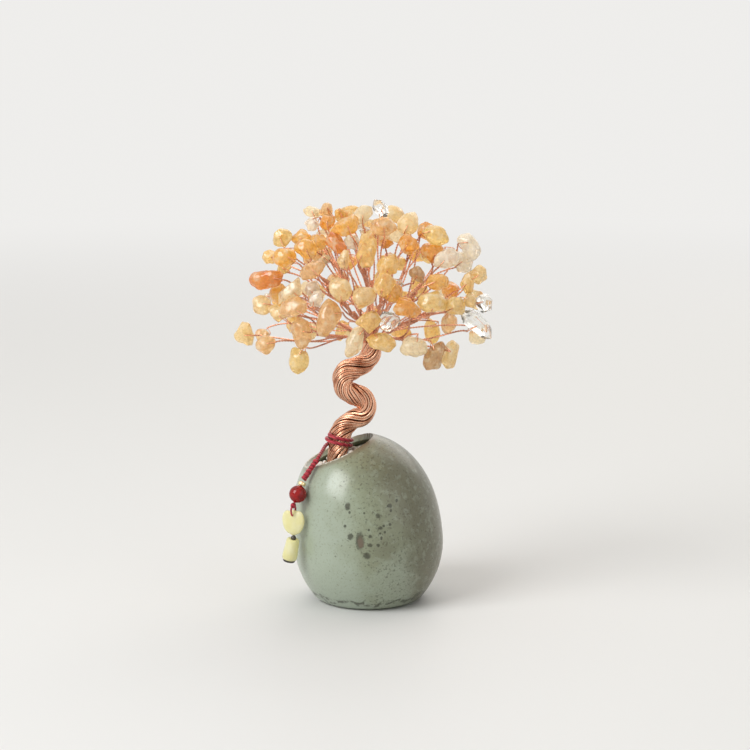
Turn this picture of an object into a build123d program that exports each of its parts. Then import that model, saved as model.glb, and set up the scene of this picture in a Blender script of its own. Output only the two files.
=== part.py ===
from build123d import *
import os
from dataclasses import dataclass
from itertools import combinations
from math import acos, atan2, cos, degrees, hypot, pi, radians, sin, sqrt, tan
from random import Random
from typing import NamedTuple

# Gemstone tree: drilled stones on twisted copper twigs, a snaking wire trunk set in a glazed pot, and a cord tassel.
# Millimetres. The table is z = 0 under the middle of the pot's base, +Z is up and the front faces -Y.

# Pot: an egg with a flat base, leaning a little to the left, with one slanting cut for its mouth
POT_HEIGHT = 56.4
POT_BELLY = 25.2
POT_BELLY_HEIGHT = 20.5
POT_BASE = 17.5
POT_LEAN = 3.0
POT_WALL = 2.2
POT_FLOOR = 4.0
SIDE_POWER = 2.2
SHOULDER_POWER = 2.5
POT_LEVELS = (0, 0.2, 0.5, 0.8, 1)
SHOULDER_LEVELS = (0.3, 0.55, 0.75, 0.88, 0.955, 0.99, 0.9995)
MOUTH_LEFT = -21.3
MOUTH_LEFT_HEIGHT = 45.8
MOUTH_TILT = 24
RIM_ROUND = 0.6
BASE_ROUND = 2.0

# Fill and gravel
FILL_DEPTH = 3.6
FILL_GAP = 0.2
SOCKET_GAP = 0.15
GRAVEL_COUNT = 8
GRAVEL_SIZE = 3.4
GRAVEL_SMALLEST = 0.8
GRAVEL_STAND_OFF = 2.6
GRAVEL_HALVES = (0.5, 0.42, 0.45)

# Trunk: a core and a lay of outer strands, each of which runs on as a branch
STRAND_RADIUS = 0.75
STRAND_RING = 2.75
CORE_RADIUS = 1.75
TRUNK_TWIST = 150
TRUNK_STEP = 1.5
TRUNK_FOOT = Vector(-10.5, 0, 28)
TRUNK_MOUTH = Vector(-10.5, 0, 50)
TRUNK_LEAN = Vector(-9.0, 0.5, 59)
TRUNK_RIGHT = Vector(4.7, 0, 66)
TRUNK_LEFT = Vector(-14.4, -2.5, 74.2)
TRUNK_NECK = Vector(0.8, 0, 81.5)
HEART = Vector(0.8, 0, 87.5)
TRUNK_BENDS = (8, 8, 4, 4, 4.5)

# Branches and twigs
INNER_RADIUS = 0.58
INNER_RING = 1.28
INNER_COUNT = 6
CENTRE_RISE = 7.0
INNER_RISE = 4.2
OUTER_RISE = 1.6
BRANCH_SHARE = 0.56
TWIG_RADIUS = 0.45
SHOOT_PITCH = 1.35
SHOOT_START = 0.6
JOIN_GAP = 0.12
TIP_RUN = 1.5
LOOP_WIRE = 0.22
LOOP_REACH = 1.2
LOOP_RISE = 0.9
WIRE_GAP = 0.1
NEAR_MARGIN = 1.5
ROOM_STEP = 0.4
PARALLEL = 1e-9
WAYS_IN = (0, 25, -25, 50, -50, 75, -75, 100, -100, 130, -130, 160, -160)

# Stones and the dome that they stand on
STONE_SIDES = 6
STONE_THICKNESS = 0.68
THINNEST_STONE = 2.8
STONE_LEVELS = ((-0.5, 0.5), (-0.08, 1.0), (0.5, 0.45))
CORNER_SHIFT = 0.25
STONE_GAP = 0.4
HOLE_RADIUS = 0.45
HOLE_INSET = 1.7
CROWN_REACH = 43.0
CROWN_DEPTH = 32.0
CROWN_RISE = 36.0
CROWN_MIDDLE = 10.0
FRONT_FACING = 1.2
SIGHT_PITCH = 10
END_ON = 0.9
SETTLE_ROUNDS = 60
SETTLE_SIDEWAYS = 0.35
SETTLE_DEPTH = 0.5
BACK_REACH = 41.0
BACK_DEPTH = 34.0
BACK_HEIGHT = 43.0
BACK_START = 20
BACK_SWEEP = 140
BACK_LIFT = 6
BACK_PULL = 0.1
BACK_SIDES = ("back_right", "back_middle", "back_left")
BACK_ROWS = {"low": ((-1, 3), (17, 4)), "high": ((38, 3), (57, 2), (76, 1))}
BACK_LENGTHS = (6.0, 9.5)
BACK_WIDTHS = (4.8, 6.4)

# Tassel: it hangs in one upright plane, so its places are (out from the pot's middle, up), and its charms face the front
TASSEL_TURN = 212
CHARM_TURN = 250
CORD_RADIUS = 0.6
TIE_TURNS = 2
TIE_PITCH = 1.7
TIE_GAP = 0.15
TIE_HEIGHT = 54.0
TAIL_DROP = 1.0
TIE_STEP = 0.25
RIM_CROSSING = (20.4, 49.3)
KNOT_RADIUS = 0.95
KNOT_LENGTH = 2.7
KNOT_COUNT = 7
KNOT_ROUND = 0.4
CORD_GAP = 0.45
BEAD_PLACE = (27.4, 39.0)
BEAD_RADIUS = 2.9
BEAD_HOLE = 0.7
BEAD_GAP = 0.15
DROP_LEAN = 26
DROP_RADIUS = 0.45
SPACER_RADIUS = 1.25
SPACER_THICKNESS = 1.2
SPACER_ROUND = 0.4
STOP_RADIUS = 1.0
EYE_RING = 1.9
EYE_WIRE = 0.4
EYE_THICKNESS = 0.5
EYE_LIFT = 0.4
EYE_HOLE = 1.0
UPPER_GAP = 0.3
UPPER_TOP = 2.6
UPPER_BOTTOM = 3.85
UPPER_HEIGHT = 8.7
UPPER_THICKNESS = 2.0
UPPER_ROUND = 0.6
LINK_RADIUS = 0.9
LINK_GAP = 0.08
SOCKET_ROOM = 0.2
LOWER_DROP = 0.25
LOWER_TOP = 2.1
LOWER_BOTTOM = 2.5
LOWER_LENGTH = 7.3
LOWER_LEAN = 12
LOWER_ROUND = 0.5
BAND_RADIUS = 2.0
BAND_HEIGHT = 0.7


class Stone(NamedTuple):
    """A stone of the crown's front, by its place from the crown's heart as the viewer sees it."""

    across: float
    up: float
    length: float
    width: float
    lean: float
    depth: float = 1.0


FRONT_STONES = {
    "low_left": (
        Stone(-41.8, 2, 8.3, 6.7, -60),
        Stone(-34.2, -1.3, 6.7, 6, 30),
        Stone(-23.2, -6.5, 8.3, 6.3, 75),
        Stone(-22.5, 3.3, 10, 5.7, -70),
        Stone(-29.8, 9, 7.5, 5, -25),
        Stone(-24.8, 10.5, 9, 6, 10),
    ),
    "middle_left": (
        Stone(-33.8, 20, 11.7, 5.3, 3),
        Stone(-30.2, 15.8, 6.7, 5.3, 60, 0.6),
        Stone(-33.8, 14.8, 4, 3, 0, 0.3),
        Stone(-35.2, 11.7, 7.3, 5.7, -30),
        Stone(-24.8, 15.8, 10.7, 5.3, 50),
        Stone(-18.8, 17, 5.3, 4.3, 60, 0.8),
        Stone(-17.3, 13, 6, 4, 45),
    ),
    "left": (
        Stone(-29, 34, 6.7, 6.3, 30),
        Stone(-27.5, 27.2, 8, 6.7, -10),
        Stone(-33.2, 27.7, 6.7, 4.7, -45, 0.4),
        Stone(-28.7, 23.5, 4.7, 3, 0, 0.5),
        Stone(-21, 29.5, 7.3, 6.7, 20),
        Stone(-23, 34, 6.7, 5.7, 10, 0.5),
        Stone(-19.2, 22.3, 8.7, 4.5, 25),
    ),
    "upper_left": (
        Stone(-19.5, 43.2, 6.7, 4.5, -35),
        Stone(-14.3, 43.5, 5.5, 4.8, 80),
        Stone(-19.2, 38, 5.4, 4.6, 60),
        Stone(-14.3, 38.7, 6, 5, 45),
        Stone(-17.2, 32.2, 6, 5.3, 0, 0.6),
        Stone(-11.5, 31.3, 9.3, 5.3, -60),
        Stone(-15.3, 26.8, 4, 3, 0, 0.5),
    ),
    "top": (
        Stone(-7.8, 37.3, 9, 6.5, 20),
        Stone(-10.2, 42.3, 4, 3.3, 0, 0.4),
        Stone(-5.5, 43.7, 6, 4, 10, -1.0),
        Stone(-2.5, 41.3, 8.7, 5.3, 35),
        Stone(-1.5, 35.7, 4.7, 3.4, 0, 0.5),
        Stone(-6.2, 32.7, 6, 5, 0, 0.4),
        Stone(-0.8, 29.5, 12, 6.3, 75),
    ),
    "top_right": (
        Stone(3.5, 43.5, 7.3, 4.6, -60),
        Stone(3.8, 37, 9, 6, 0),
        Stone(12.5, 38, 8, 7, 60),
        Stone(4.8, 31.8, 4.4, 3, 0, 0.6),
        Stone(12.5, 31, 7.5, 6, -80),
        Stone(5.5, 23.3, 8.3, 6, 70),
        Stone(15, 21.3, 6.7, 4.7, -40, 0.8),
    ),
    "upper_right": (
        Stone(21, 34.3, 9, 6, -25),
        Stone(20.7, 28.7, 8.7, 6, -10, 0.7),
        Stone(24.8, 27, 10, 5.3, 25),
        Stone(32.7, 30.7, 10, 6.3, -70),
        Stone(30.5, 26.3, 8, 6.5, 70, 0.4),
        Stone(21.7, 18.2, 7.3, 5.3, 20),
    ),
    "right": (
        Stone(35.3, 21.7, 6.7, 6, 40),
        Stone(31.2, 18.3, 6.7, 4.7, 70),
        Stone(31.8, 13.3, 5, 4.3, 0),
        Stone(36.8, 12.5, 6.3, 6, 20),
        Stone(27.3, 11, 7, 6.3, -30),
        Stone(19.2, 12, 9.3, 7.3, 10),
    ),
    "low_right": (
        Stone(34.5, 5.7, 12.7, 6.7, -33),
        Stone(13.8, -2, 8.7, 6.3, -10),
        Stone(20.5, -5.3, 9.7, 6, 70),
        Stone(25.2, -4.7, 8.3, 6, 80),
        Stone(11.8, 11, 9, 5, -10),
    ),
    "front": (
        Stone(-9.3, 15, 8, 6.7, -50),
        Stone(-2.5, 13.7, 8, 6.7, 60),
        Stone(-13.2, 8, 12, 6.7, 80),
        Stone(-8.5, 26.3, 6, 4.3, 80),
    ),
    "front_low": (
        Stone(-4.8, 0, 10, 5.3, 70),
        Stone(-0.7, 5.3, 7.7, 6.3, 20),
        Stone(3.8, -0.7, 9, 5.3, -10),
        Stone(5.3, 6, 7.3, 6.3, 50),
    ),
    "front_right": (
        Stone(4.7, 18.5, 8.3, 6, 60),
        Stone(7.3, 15, 6.7, 6, -40),
        Stone(8.5, 18.7, 4, 3, 0, 0.6),
    ),
}

# The plane of the viewer's drawing: across, up and towards the viewer, from the crown's heart
SIGHT = Plane(HEART, x_dir=(1, 0, 0), z_dir=(0, -cos(radians(SIGHT_PITCH)), sin(radians(SIGHT_PITCH))))
# The tassel's plane: out from the pot's middle, and up
TASSEL_OUT = Vector(cos(radians(TASSEL_TURN)), sin(radians(TASSEL_TURN)), 0)
TASSEL = Plane((0, 0, 0), x_dir=TASSEL_OUT, z_dir=TASSEL_OUT.cross(Vector(0, 0, 1)))
CHARM_OUT = Vector(cos(radians(CHARM_TURN)), sin(radians(CHARM_TURN)), 0)
CHARM_SIDE = CHARM_OUT.cross(Vector(0, 0, 1))
shapes = Random(7)
os.makedirs("parts", exist_ok=True)


def keep(node, name):
    """Label a finished sub-part and write its STEP file."""
    node.part.label = name
    export_step(node.part, f"parts/{name}.step")


def egg_radius(height, belly, top):
    """Radius of the egg at a height: a power curve down to the base, a rounder one up to the top."""
    if height < POT_BELLY_HEIGHT:
        return belly - (POT_BELLY - POT_BASE) * (1 - height / POT_BELLY_HEIGHT) ** SIDE_POWER
    return belly * sqrt(1 - ((height - POT_BELLY_HEIGHT) / (top - POT_BELLY_HEIGHT)) ** SHOULDER_POWER)


def egg_middle(height):
    """Sideways place of the egg's middle at a height, which leans left above the belly."""
    return -POT_LEAN * max(height - POT_BELLY_HEIGHT, 0) / (POT_HEIGHT - POT_BELLY_HEIGHT)


def egg(wall, floor):
    """The egg's solid, smaller all round by the wall and starting at the floor."""
    top = POT_HEIGHT - wall
    levels = [floor + (POT_BELLY_HEIGHT - floor) * share for share in POT_LEVELS]
    levels += [POT_BELLY_HEIGHT + (top - POT_BELLY_HEIGHT) * share for share in SHOULDER_LEVELS]
    with BuildPart() as body:
        for level in levels:
            with BuildSketch(Plane((egg_middle(level), 0, level))):
                Circle(egg_radius(level, POT_BELLY - wall, top))
        loft()
    return body.part


def chip(plane, halves, way_in=None):
    """A flat-faced stone: one irregular outline at three levels, drilled through where its wire comes in."""
    half_length, half_width, half_thickness = halves
    turns = [2 * pi * (k + shapes.uniform(-CORNER_SHIFT, CORNER_SHIFT)) / STONE_SIDES for k in range(STONE_SIDES)]
    corners = [Vector(half_length * cos(turn), half_width * sin(turn)) for turn in turns]
    with BuildPart() as stone:
        for level, share in STONE_LEVELS:
            with BuildSketch(plane.offset(2 * half_thickness * level)):
                Polygon(*[corner * share for corner in corners])
        loft(ruled=True)
        if way_in:
            with BuildSketch(plane.offset(-2 * half_thickness)):
                with Locations(way_in):
                    RegularPolygon(HOLE_RADIUS, 4)
            extrude(amount=4 * half_thickness, mode=Mode.SUBTRACT)
    return stone.part


def rod(points, radius, sides):
    """A straight-sided wire along a run of points."""
    with BuildPart() as wire:
        with BuildLine():
            Polyline(*points)
        with BuildSketch(Plane(points[0], z_dir=points[1] - points[0])):
            RegularPolygon(radius, sides)
        sweep(transition=Transition.RIGHT)
    return wire.part


@dataclass
class SetStone:
    """A stone in its place in the crown, taken as an ellipsoid while the places are worked out."""

    branch: str
    middle: Vector
    halves: tuple
    lean: float
    facing: Vector
    plane: Plane = None

    def turn_outwards(self):
        """Lay the stone's flat side towards the outside of the crown, and its long side as it leans."""
        out = ((self.middle - HEART).normalized() + self.facing).normalized()
        along = SIGHT.x_dir * cos(radians(self.lean)) + SIGHT.y_dir * sin(radians(self.lean))
        if abs(along.dot(out)) > END_ON:
            along = SIGHT.y_dir
        self.plane = Plane(self.middle, x_dir=along - out * along.dot(out), z_dir=out)

    def reach(self, way):
        """How far the stone reaches from its middle along a direction."""
        axes = (self.plane.x_dir, self.plane.y_dir, self.plane.z_dir)
        return sqrt(sum((half * axis.dot(way)) ** 2 for half, axis in zip(self.halves, axes)))


def stone_halves(length, width):
    """Half sizes of a stone, its thickness following its width."""
    return (length / 2, width / 2, max(THINNEST_STONE, width * STONE_THICKNESS) / 2)


def front_stones():
    """The stones that the viewer sees, each set on the front of the crown's dome."""
    for branch, group in FRONT_STONES.items():
        for stone in group:
            room = 1 - (stone.across / CROWN_REACH) ** 2 - ((stone.up - CROWN_MIDDLE) / CROWN_RISE) ** 2
            towards = CROWN_DEPTH * stone.depth * sqrt(max(room, 0))
            middle = SIGHT.from_local_coords(Vector(stone.across, stone.up, towards))
            halves = stone_halves(stone.length, stone.width)
            yield SetStone(branch, middle, halves, stone.lean, SIGHT.z_dir * FRONT_FACING)


def back_stones():
    """The stones of the crown's back: rows round the dome, every second one lifted and drawn in."""
    for side, name in enumerate(BACK_SIDES):
        for level, rows in BACK_ROWS.items():
            for rise, count in rows:
                for k in range(count):
                    turn = radians(BACK_START + BACK_SWEEP * (side + (k + 0.5) / count) / len(BACK_SIDES))
                    lift = radians(rise + BACK_LIFT * (k % 2))
                    level_out = Vector(BACK_REACH * cos(turn), BACK_DEPTH * sin(turn)) * cos(lift)
                    place = level_out + Vector(0, 0, BACK_HEIGHT * sin(lift))
                    middle = HEART + place * (1 - BACK_PULL * ((k + side) % 2))
                    halves = stone_halves(shapes.uniform(*BACK_LENGTHS), shapes.uniform(*BACK_WIDTHS))
                    yield SetStone(f"{name}_{level}", middle, halves, shapes.uniform(0, 180), Vector())


def settle(stones):
    """Move stones that touch apart, mostly towards the viewer and away."""
    for _ in range(SETTLE_ROUNDS):
        for stone in stones:
            stone.turn_outwards()
        for first, second in combinations(stones, 2):
            gap = second.middle - first.middle
            if gap.length > first.halves[0] + second.halves[0] + STONE_GAP:
                continue
            way = gap.normalized()
            short = first.reach(way) + second.reach(way) + STONE_GAP - gap.length
            if short > 0:
                depth = way.dot(SIGHT.z_dir)
                depth = max(depth, SETTLE_DEPTH) if depth >= 0 else min(depth, -SETTLE_DEPTH)
                push = (way * SETTLE_SIDEWAYS + SIGHT.z_dir * depth).normalized() * (short / 2)
                first.middle -= push
                second.middle += push


class Run(NamedTuple):
    """A straight run of wire that others keep clear of."""

    start: Vector
    end: Vector
    radius: float
    branch: str = ""

    def near(self, other):
        """Whether the other run may come within the margin."""
        apart = (self.start + self.end - other.start - other.end).length / 2
        return apart < ((self.end - self.start).length + (other.end - other.start).length) / 2 + NEAR_MARGIN

    def room_to_run(self, other):
        """Free room between two runs, between the closest points of their middle lines."""
        mine, theirs, offset = self.end - self.start, other.end - other.start, self.start - other.start
        mine_sq, theirs_sq, cross = mine.dot(mine), theirs.dot(theirs), mine.dot(theirs)
        mine_off, theirs_off = mine.dot(offset), theirs.dot(offset)
        spread = mine_sq * theirs_sq - cross * cross
        along = (cross * theirs_off - mine_off * theirs_sq) / spread if spread > PARALLEL else 0
        along = min(max(along, 0), 1)
        other_along = (cross * along + theirs_off) / theirs_sq
        if not 0 <= other_along <= 1:
            other_along = min(max(other_along, 0), 1)
            along = min(max((cross * other_along - mine_off) / mine_sq, 0), 1)
        return (offset + mine * along - theirs * other_along).length - self.radius - other.radius

    def room_to_stone(self, stone):
        """Free room to a stone, from points along the run."""
        count = max(1, round((self.end - self.start).length / ROOM_STEP))
        least = 2 * CROWN_REACH
        for k in range(count + 1):
            away = stone.middle - self.start - (self.end - self.start) * (k / count)
            least = min(least, away.length - stone.reach(away.normalized()) - self.radius)
        return least


def runs_of(points, radius, branch=""):
    """The straight runs between neighbouring points, marked with the branch if they are its own stem."""
    return [Run(start, end, radius, branch) for start, end in zip(points, points[1:])]


def least_room(runs, placed, stones, skip):
    """The least room that some runs have to the stones and to the wires already placed."""
    least = WIRE_GAP
    for run in runs:
        middle, half = (run.start + run.end) / 2, (run.end - run.start).length / 2
        for stone in stones:
            if stone is not skip and (stone.middle - middle).length < half + stone.halves[0] + NEAR_MARGIN:
                least = min(least, run.room_to_stone(stone))
        for other in placed:
            if run.near(other):
                least = min(least, run.room_to_run(other))
    return least


def branch_starts(middles):
    """Where each branch leaves the trunk's top: the steepest in the middle, then a ring, the rest on the strands."""
    by_rise = sorted(middles, key=lambda name: -(middles[name] - HEART).normalized().Z)
    turns = {name: atan2(middle.Y - HEART.Y, middle.X - HEART.X) for name, middle in middles.items()}
    rings = (
        (by_rise[:1], 0, CENTRE_RISE, INNER_RADIUS),
        (by_rise[1 : INNER_COUNT + 1], INNER_RING, INNER_RISE, INNER_RADIUS),
        (by_rise[INNER_COUNT + 1 :], STRAND_RING, OUTER_RISE, STRAND_RADIUS),
    )
    starts = {}
    for names, ring, rise, radius in rings:
        names = sorted(names, key=turns.get)
        step = 2 * pi / len(names)
        drift = [(turns[name] - turns[names[0]] - k * step + pi) % (2 * pi) - pi for k, name in enumerate(names)]
        first = turns[names[0]] + sum(drift) / len(names)
        for k, name in enumerate(names):
            place = HEART + Vector(cos(first + k * step), sin(first + k * step)) * ring
            starts[name] = (place, place + Vector(0, 0, rise), radius)
    return starts


class Twig(NamedTuple):
    """A stone's wire: its stem, the loop through the stone, and the hole's place on the stone."""

    stem: list
    loop: list
    hole: tuple


def twig_to(stone, branch, shoot, turn):
    """The twig that reaches a stone from a shoot on its branch, coming in at a turn round the stone's edge."""
    start, tip, radius = branch
    along = (tip - start).normalized()
    edge = 1 / hypot(cos(turn) / stone.halves[0], sin(turn) / stone.halves[1])
    inside = Vector(cos(turn), sin(turn)) * (edge - HOLE_INSET)
    neck = stone.plane.from_local_coords(Vector(cos(turn), sin(turn)) * (edge + LOOP_REACH))
    rise = Vector(0, 0, stone.halves[2] + LOOP_RISE)
    front, back = (stone.plane.from_local_coords(inside + side) for side in (rise, rise * -1))
    way = (neck - shoot).normalized()
    if shoot == tip:
        stem = [tip, tip + along * TIP_RUN, neck]
    else:
        aside = (way - along * way.dot(along)).normalized()
        stem = [shoot + aside * (radius + JOIN_GAP + TWIG_RADIUS * abs(way.dot(along))), neck]
    return Twig(stem, [neck, front, back, neck], (inside.X, inside.Y))


def clear_twig(stone, branch, shoot, placed, stones):
    """The twig with the straightest way in that keeps clear of the other stones and wires."""
    seen = stone.plane.to_local_coords(shoot)
    straight = atan2(seen.Y, seen.X)
    others = [run for run in placed if run.branch != stone.branch]
    best, most = None, None
    for way_in in WAYS_IN:
        twig = twig_to(stone, branch, shoot, straight + radians(way_in))
        stem = runs_of(twig.stem, TWIG_RADIUS)
        loop = runs_of(twig.loop, LOOP_WIRE)
        room = min(least_room(stem, others, stones, None), least_room(loop, others, stones, stone))
        if most is None or room > most:
            best, most = twig, room
        if room >= WIRE_GAP:
            break
    return best


def biarc(start, start_way, end, end_way):
    """Two tangent arcs from one point and direction to another."""
    span, both = end - start, start_way + end_way
    fall = 2 * (1 - start_way.dot(end_way))
    slope = span.dot(both)
    reach = (-slope + sqrt(slope**2 + fall * span.dot(span))) / fall
    first, last = start + start_way * reach, end - end_way * reach
    middle = (first + last) / 2
    TangentArc(start, middle, tangent=start_way)
    TangentArc(middle, end, tangent=last - first)


# Pot
with BuildPart() as pot:
    add(egg(0, 0))
    fillet(pot.faces().sort_by(Axis.Z)[0].edges(), BASE_ROUND)
    add(egg(POT_WALL, POT_FLOOR), mode=Mode.SUBTRACT)
    mouth = Plane((MOUTH_LEFT, 0, MOUTH_LEFT_HEIGHT)).rotated((0, -MOUTH_TILT, 0))
    split(bisect_by=mouth, keep=Keep.BOTTOM)
    rim = pot.faces().filter_by(Axis((0, 0, 0), mouth.z_dir)).sort_by(Axis.Z)[-1]
    fillet(rim.edges(), RIM_ROUND)
keep(pot, "pot")

# Fill, with a socket for the foot of the trunk
with BuildPart() as plaster_fill:
    add(egg(POT_WALL + FILL_GAP, POT_FLOOR))
    fill_top = mouth.offset(-FILL_DEPTH)
    split(bisect_by=fill_top, keep=Keep.BOTTOM)
    with Locations(TRUNK_FOOT):
        Cylinder(
            STRAND_RING + STRAND_RADIUS + SOCKET_GAP,
            POT_HEIGHT,
            align=(Align.CENTER, Align.CENTER, Align.MIN),
            mode=Mode.SUBTRACT,
        )
keep(plaster_fill, "plaster_fill")

# Gravel on the fill, round the trunk
gravel_ring = STRAND_RING + STRAND_RADIUS + GRAVEL_STAND_OFF
gravel_stones = []
for k in range(GRAVEL_COUNT):
    turn = 2 * pi * k / GRAVEL_COUNT
    size = GRAVEL_SIZE * shapes.uniform(GRAVEL_SMALLEST, 1)
    halves = [size * half for half in GRAVEL_HALVES]
    across, deep = TRUNK_FOOT.X + gravel_ring * cos(turn), TRUNK_FOOT.Y + gravel_ring * sin(turn)
    level = fill_top.origin.Z + (across - fill_top.origin.X) * tan(radians(MOUTH_TILT))
    place = Vector(across, deep, level) + fill_top.z_dir * halves[2]
    gravel_stones.append(chip(Plane(place, x_dir=(-sin(turn), cos(turn), 0), z_dir=fill_top.z_dir), halves))
with BuildPart() as gravel:
    add(gravel_stones)
keep(gravel, "gravel")

# Crown: where every stone, branch and twig goes
stones = list(front_stones()) + list(back_stones())
settle(stones)
groups = {}
for stone in stones:
    groups.setdefault(stone.branch, []).append(stone)
middles = {name: sum((stone.middle for stone in group), Vector()) / len(group) for name, group in groups.items()}
starts = branch_starts(middles)
placed = []
for name, (start, rise, radius) in starts.items():
    placed += runs_of([start, rise, rise + (middles[name] - rise) * BRANCH_SHARE], radius, name)

# Trunk
with BuildLine() as spine:
    FilletPolyline(
        TRUNK_FOOT, TRUNK_MOUTH, TRUNK_LEAN, TRUNK_RIGHT, TRUNK_LEFT, TRUNK_NECK, HEART, radius=TRUNK_BENDS
    )
with BuildPart() as trunk_core:
    with BuildSketch(Plane(TRUNK_FOOT)):
        Circle(CORE_RADIUS)
    sweep(path=spine.line)
keep(trunk_core, "trunk_core")

trunk_route = spine.wire()
trunk_shares = [0]
for edge in trunk_route.order_edges():
    steps = 1 if edge.geom_type == GeomType.LINE else round(edge.length / TRUNK_STEP)
    before = trunk_shares[-1]
    for k in range(steps):
        trunk_shares.append(before + edge.length * (k + 1) / steps / trunk_route.length)
trunk_planes = []
side = Vector(1, 0, 0)
for share in trunk_shares:
    along = trunk_route % share
    side = (side - along * side.dot(along)).normalized()
    trunk_planes.append(Plane(trunk_route @ share, x_dir=side, z_dir=along))
strands = []
for start, _, radius in starts.values():
    top = trunk_planes[-1].to_local_coords(start)
    if radius == STRAND_RADIUS:
        with BuildPart() as strand:
            for share, plane in zip(trunk_shares, trunk_planes):
                turn = atan2(top.Y, top.X) - radians(TRUNK_TWIST) * (1 - share)
                with BuildSketch(plane):
                    with Locations((STRAND_RING * cos(turn), STRAND_RING * sin(turn))):
                        RegularPolygon(STRAND_RADIUS, 6, rotation=degrees(turn))
            loft(ruled=True)
        strands.append(strand.part)
with BuildPart() as trunk_strands:
    add(strands)
keep(trunk_strands, "trunk_strands")

# Branches, each with its twigs and stones
for name, group in groups.items():
    start, rise, radius = starts[name]
    tip = rise + (middles[name] - rise) * BRANCH_SHARE
    along = (tip - rise).normalized()
    waist = (rise + tip) / 2
    group.sort(key=lambda stone: (stone.middle - waist).normalized().dot(along))
    wires = [rod([start, rise, tip], radius, 6)]
    chips = []
    for k, stone in enumerate(group):
        left = len(group) - 1 - k
        shoot = tip - along * (SHOOT_START + SHOOT_PITCH * (left - 1)) if left else tip
        twig = clear_twig(stone, (rise, tip, radius), shoot, placed, stones)
        placed += runs_of(twig.stem, TWIG_RADIUS) + runs_of(twig.loop, LOOP_WIRE)
        with BuildPart() as twig_wire:
            add(rod(twig.stem, TWIG_RADIUS, 4))
            add([rod(run, LOOP_WIRE, 4) for run in zip(twig.loop, twig.loop[1:])])
        wires.append(twig_wire.part)
        chips.append(chip(stone.plane, stone.halves, twig.hole))
    with BuildPart() as branch_wires:
        add(wires)
    keep(branch_wires, f"{name}_wires")
    with BuildPart() as branch_stones:
        add(chips)
    keep(branch_stones, f"{name}_stones")

# Tie cord: wound down round the trunk, then straight to the rim
tie_way = (TRUNK_LEAN - TRUNK_MOUTH).normalized()
tie_middle = TRUNK_MOUTH + tie_way * ((TIE_HEIGHT - TRUNK_MOUTH.Z) / tie_way.Z)
tie_plane = Plane(tie_middle, x_dir=(1, 0, -tie_way.X / tie_way.Z), z_dir=tie_way)
tie_ring = STRAND_RING + STRAND_RADIUS + TIE_GAP + CORD_RADIUS
drop_way = Vector(sin(radians(DROP_LEAN)), -cos(radians(DROP_LEAN)))
rim_place = Vector(*RIM_CROSSING)
bead_place = Vector(*BEAD_PLACE)
last_knot = bead_place - drop_way * (BEAD_RADIUS + SPACER_THICKNESS + KNOT_RADIUS + 3 * BEAD_GAP)
knot_step = (last_knot - rim_place) / (KNOT_COUNT - 1)
tail_end = TASSEL.from_local_coords(rim_place - knot_step.normalized() * (KNOT_RADIUS + CORD_GAP))
seen = tie_plane.to_local_coords(tail_end)
leave = atan2(seen.Y, seen.X) - acos(tie_ring / hypot(seen.X, seen.Y))
turn_points = []
turn_ways = []
for k in range(4 * TIE_TURNS + 1):
    turn = leave - pi / 2 * (4 * TIE_TURNS - k)
    drop = TIE_PITCH * (TIE_TURNS / 2 - k / 4) - (TAIL_DROP if k == 4 * TIE_TURNS else 0)
    turn_points.append(tie_plane.from_local_coords(Vector(tie_ring * cos(turn), tie_ring * sin(turn), drop)))
    slope = Vector(-sin(turn), cos(turn), -TIE_PITCH / (2 * pi * tie_ring))
    turn_ways.append((tie_plane.from_local_coords(slope) - tie_middle).normalized())
turn_ways[-1] = (tail_end - turn_points[-1]).normalized()
with BuildPart() as tie_cord:
    with BuildLine() as tie_route:
        for k in range(4 * TIE_TURNS):
            biarc(turn_points[k], turn_ways[k], turn_points[k + 1], turn_ways[k + 1])
        Line(turn_points[-1], tail_end)
    with BuildSketch(Plane(turn_points[0], z_dir=turn_ways[0])):
        Circle(CORD_RADIUS)
    sweep()
keep(tie_cord, "tie_cord")
tie_wire = tie_route.wire()
tie_count = round(tie_wire.length / TIE_STEP)
tie_points = [tie_wire @ (k / tie_count) for k in range(tie_count + 1)]
turn_count = round(pi * tie_ring / TIE_STEP)
tie_gaps = [
    (second - first).length - 2 * CORD_RADIUS
    for k, first in enumerate(tie_points)
    for second in tie_points[k + turn_count :]
]
bends = [edge.radius for edge in tie_route.edges().filter_by(GeomType.CIRCLE)]
print("tie cord", round(tie_wire.length, 1), "mm long")
print("tie cord's volume over its section", round(tie_cord.part.volume / (pi * CORD_RADIUS**2), 1))
print("tie cord's bend radii", round(min(bends), 2), "to", round(max(bends), 2))
print("least gap between the tie cord and itself", round(min(tie_gaps), 2))

# Knotted length: stacked knots down the shoulder of the pot, the first one on the rim
knots = []
for k in range(KNOT_COUNT):
    with BuildPart(Plane(TASSEL.from_local_coords(rim_place + knot_step * k), z_dir=TASSEL.z_dir)) as knot:
        Cylinder(KNOT_RADIUS, KNOT_LENGTH)
        fillet(knot.edges().filter_by(GeomType.CIRCLE), KNOT_ROUND)
    knots.append(knot.part)
with BuildPart() as knotted_cord:
    add(knots)
keep(knotted_cord, "knotted_cord")

# Drop cord through both beads
stop_place = bead_place + drop_way * (BEAD_RADIUS + BEAD_GAP + STOP_RADIUS)
drop_start = last_knot + drop_way * (KNOT_RADIUS + JOIN_GAP)
drop_end = stop_place - drop_way * (STOP_RADIUS + JOIN_GAP)
drop_line = TASSEL.from_local_coords(bead_place + drop_way) - TASSEL.from_local_coords(bead_place)
with BuildPart() as drop_cord:
    with BuildSketch(Plane(TASSEL.from_local_coords(drop_start), z_dir=drop_line)):
        Circle(DROP_RADIUS)
    extrude(amount=(drop_end - drop_start).length)
keep(drop_cord, "drop_cord")

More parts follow.
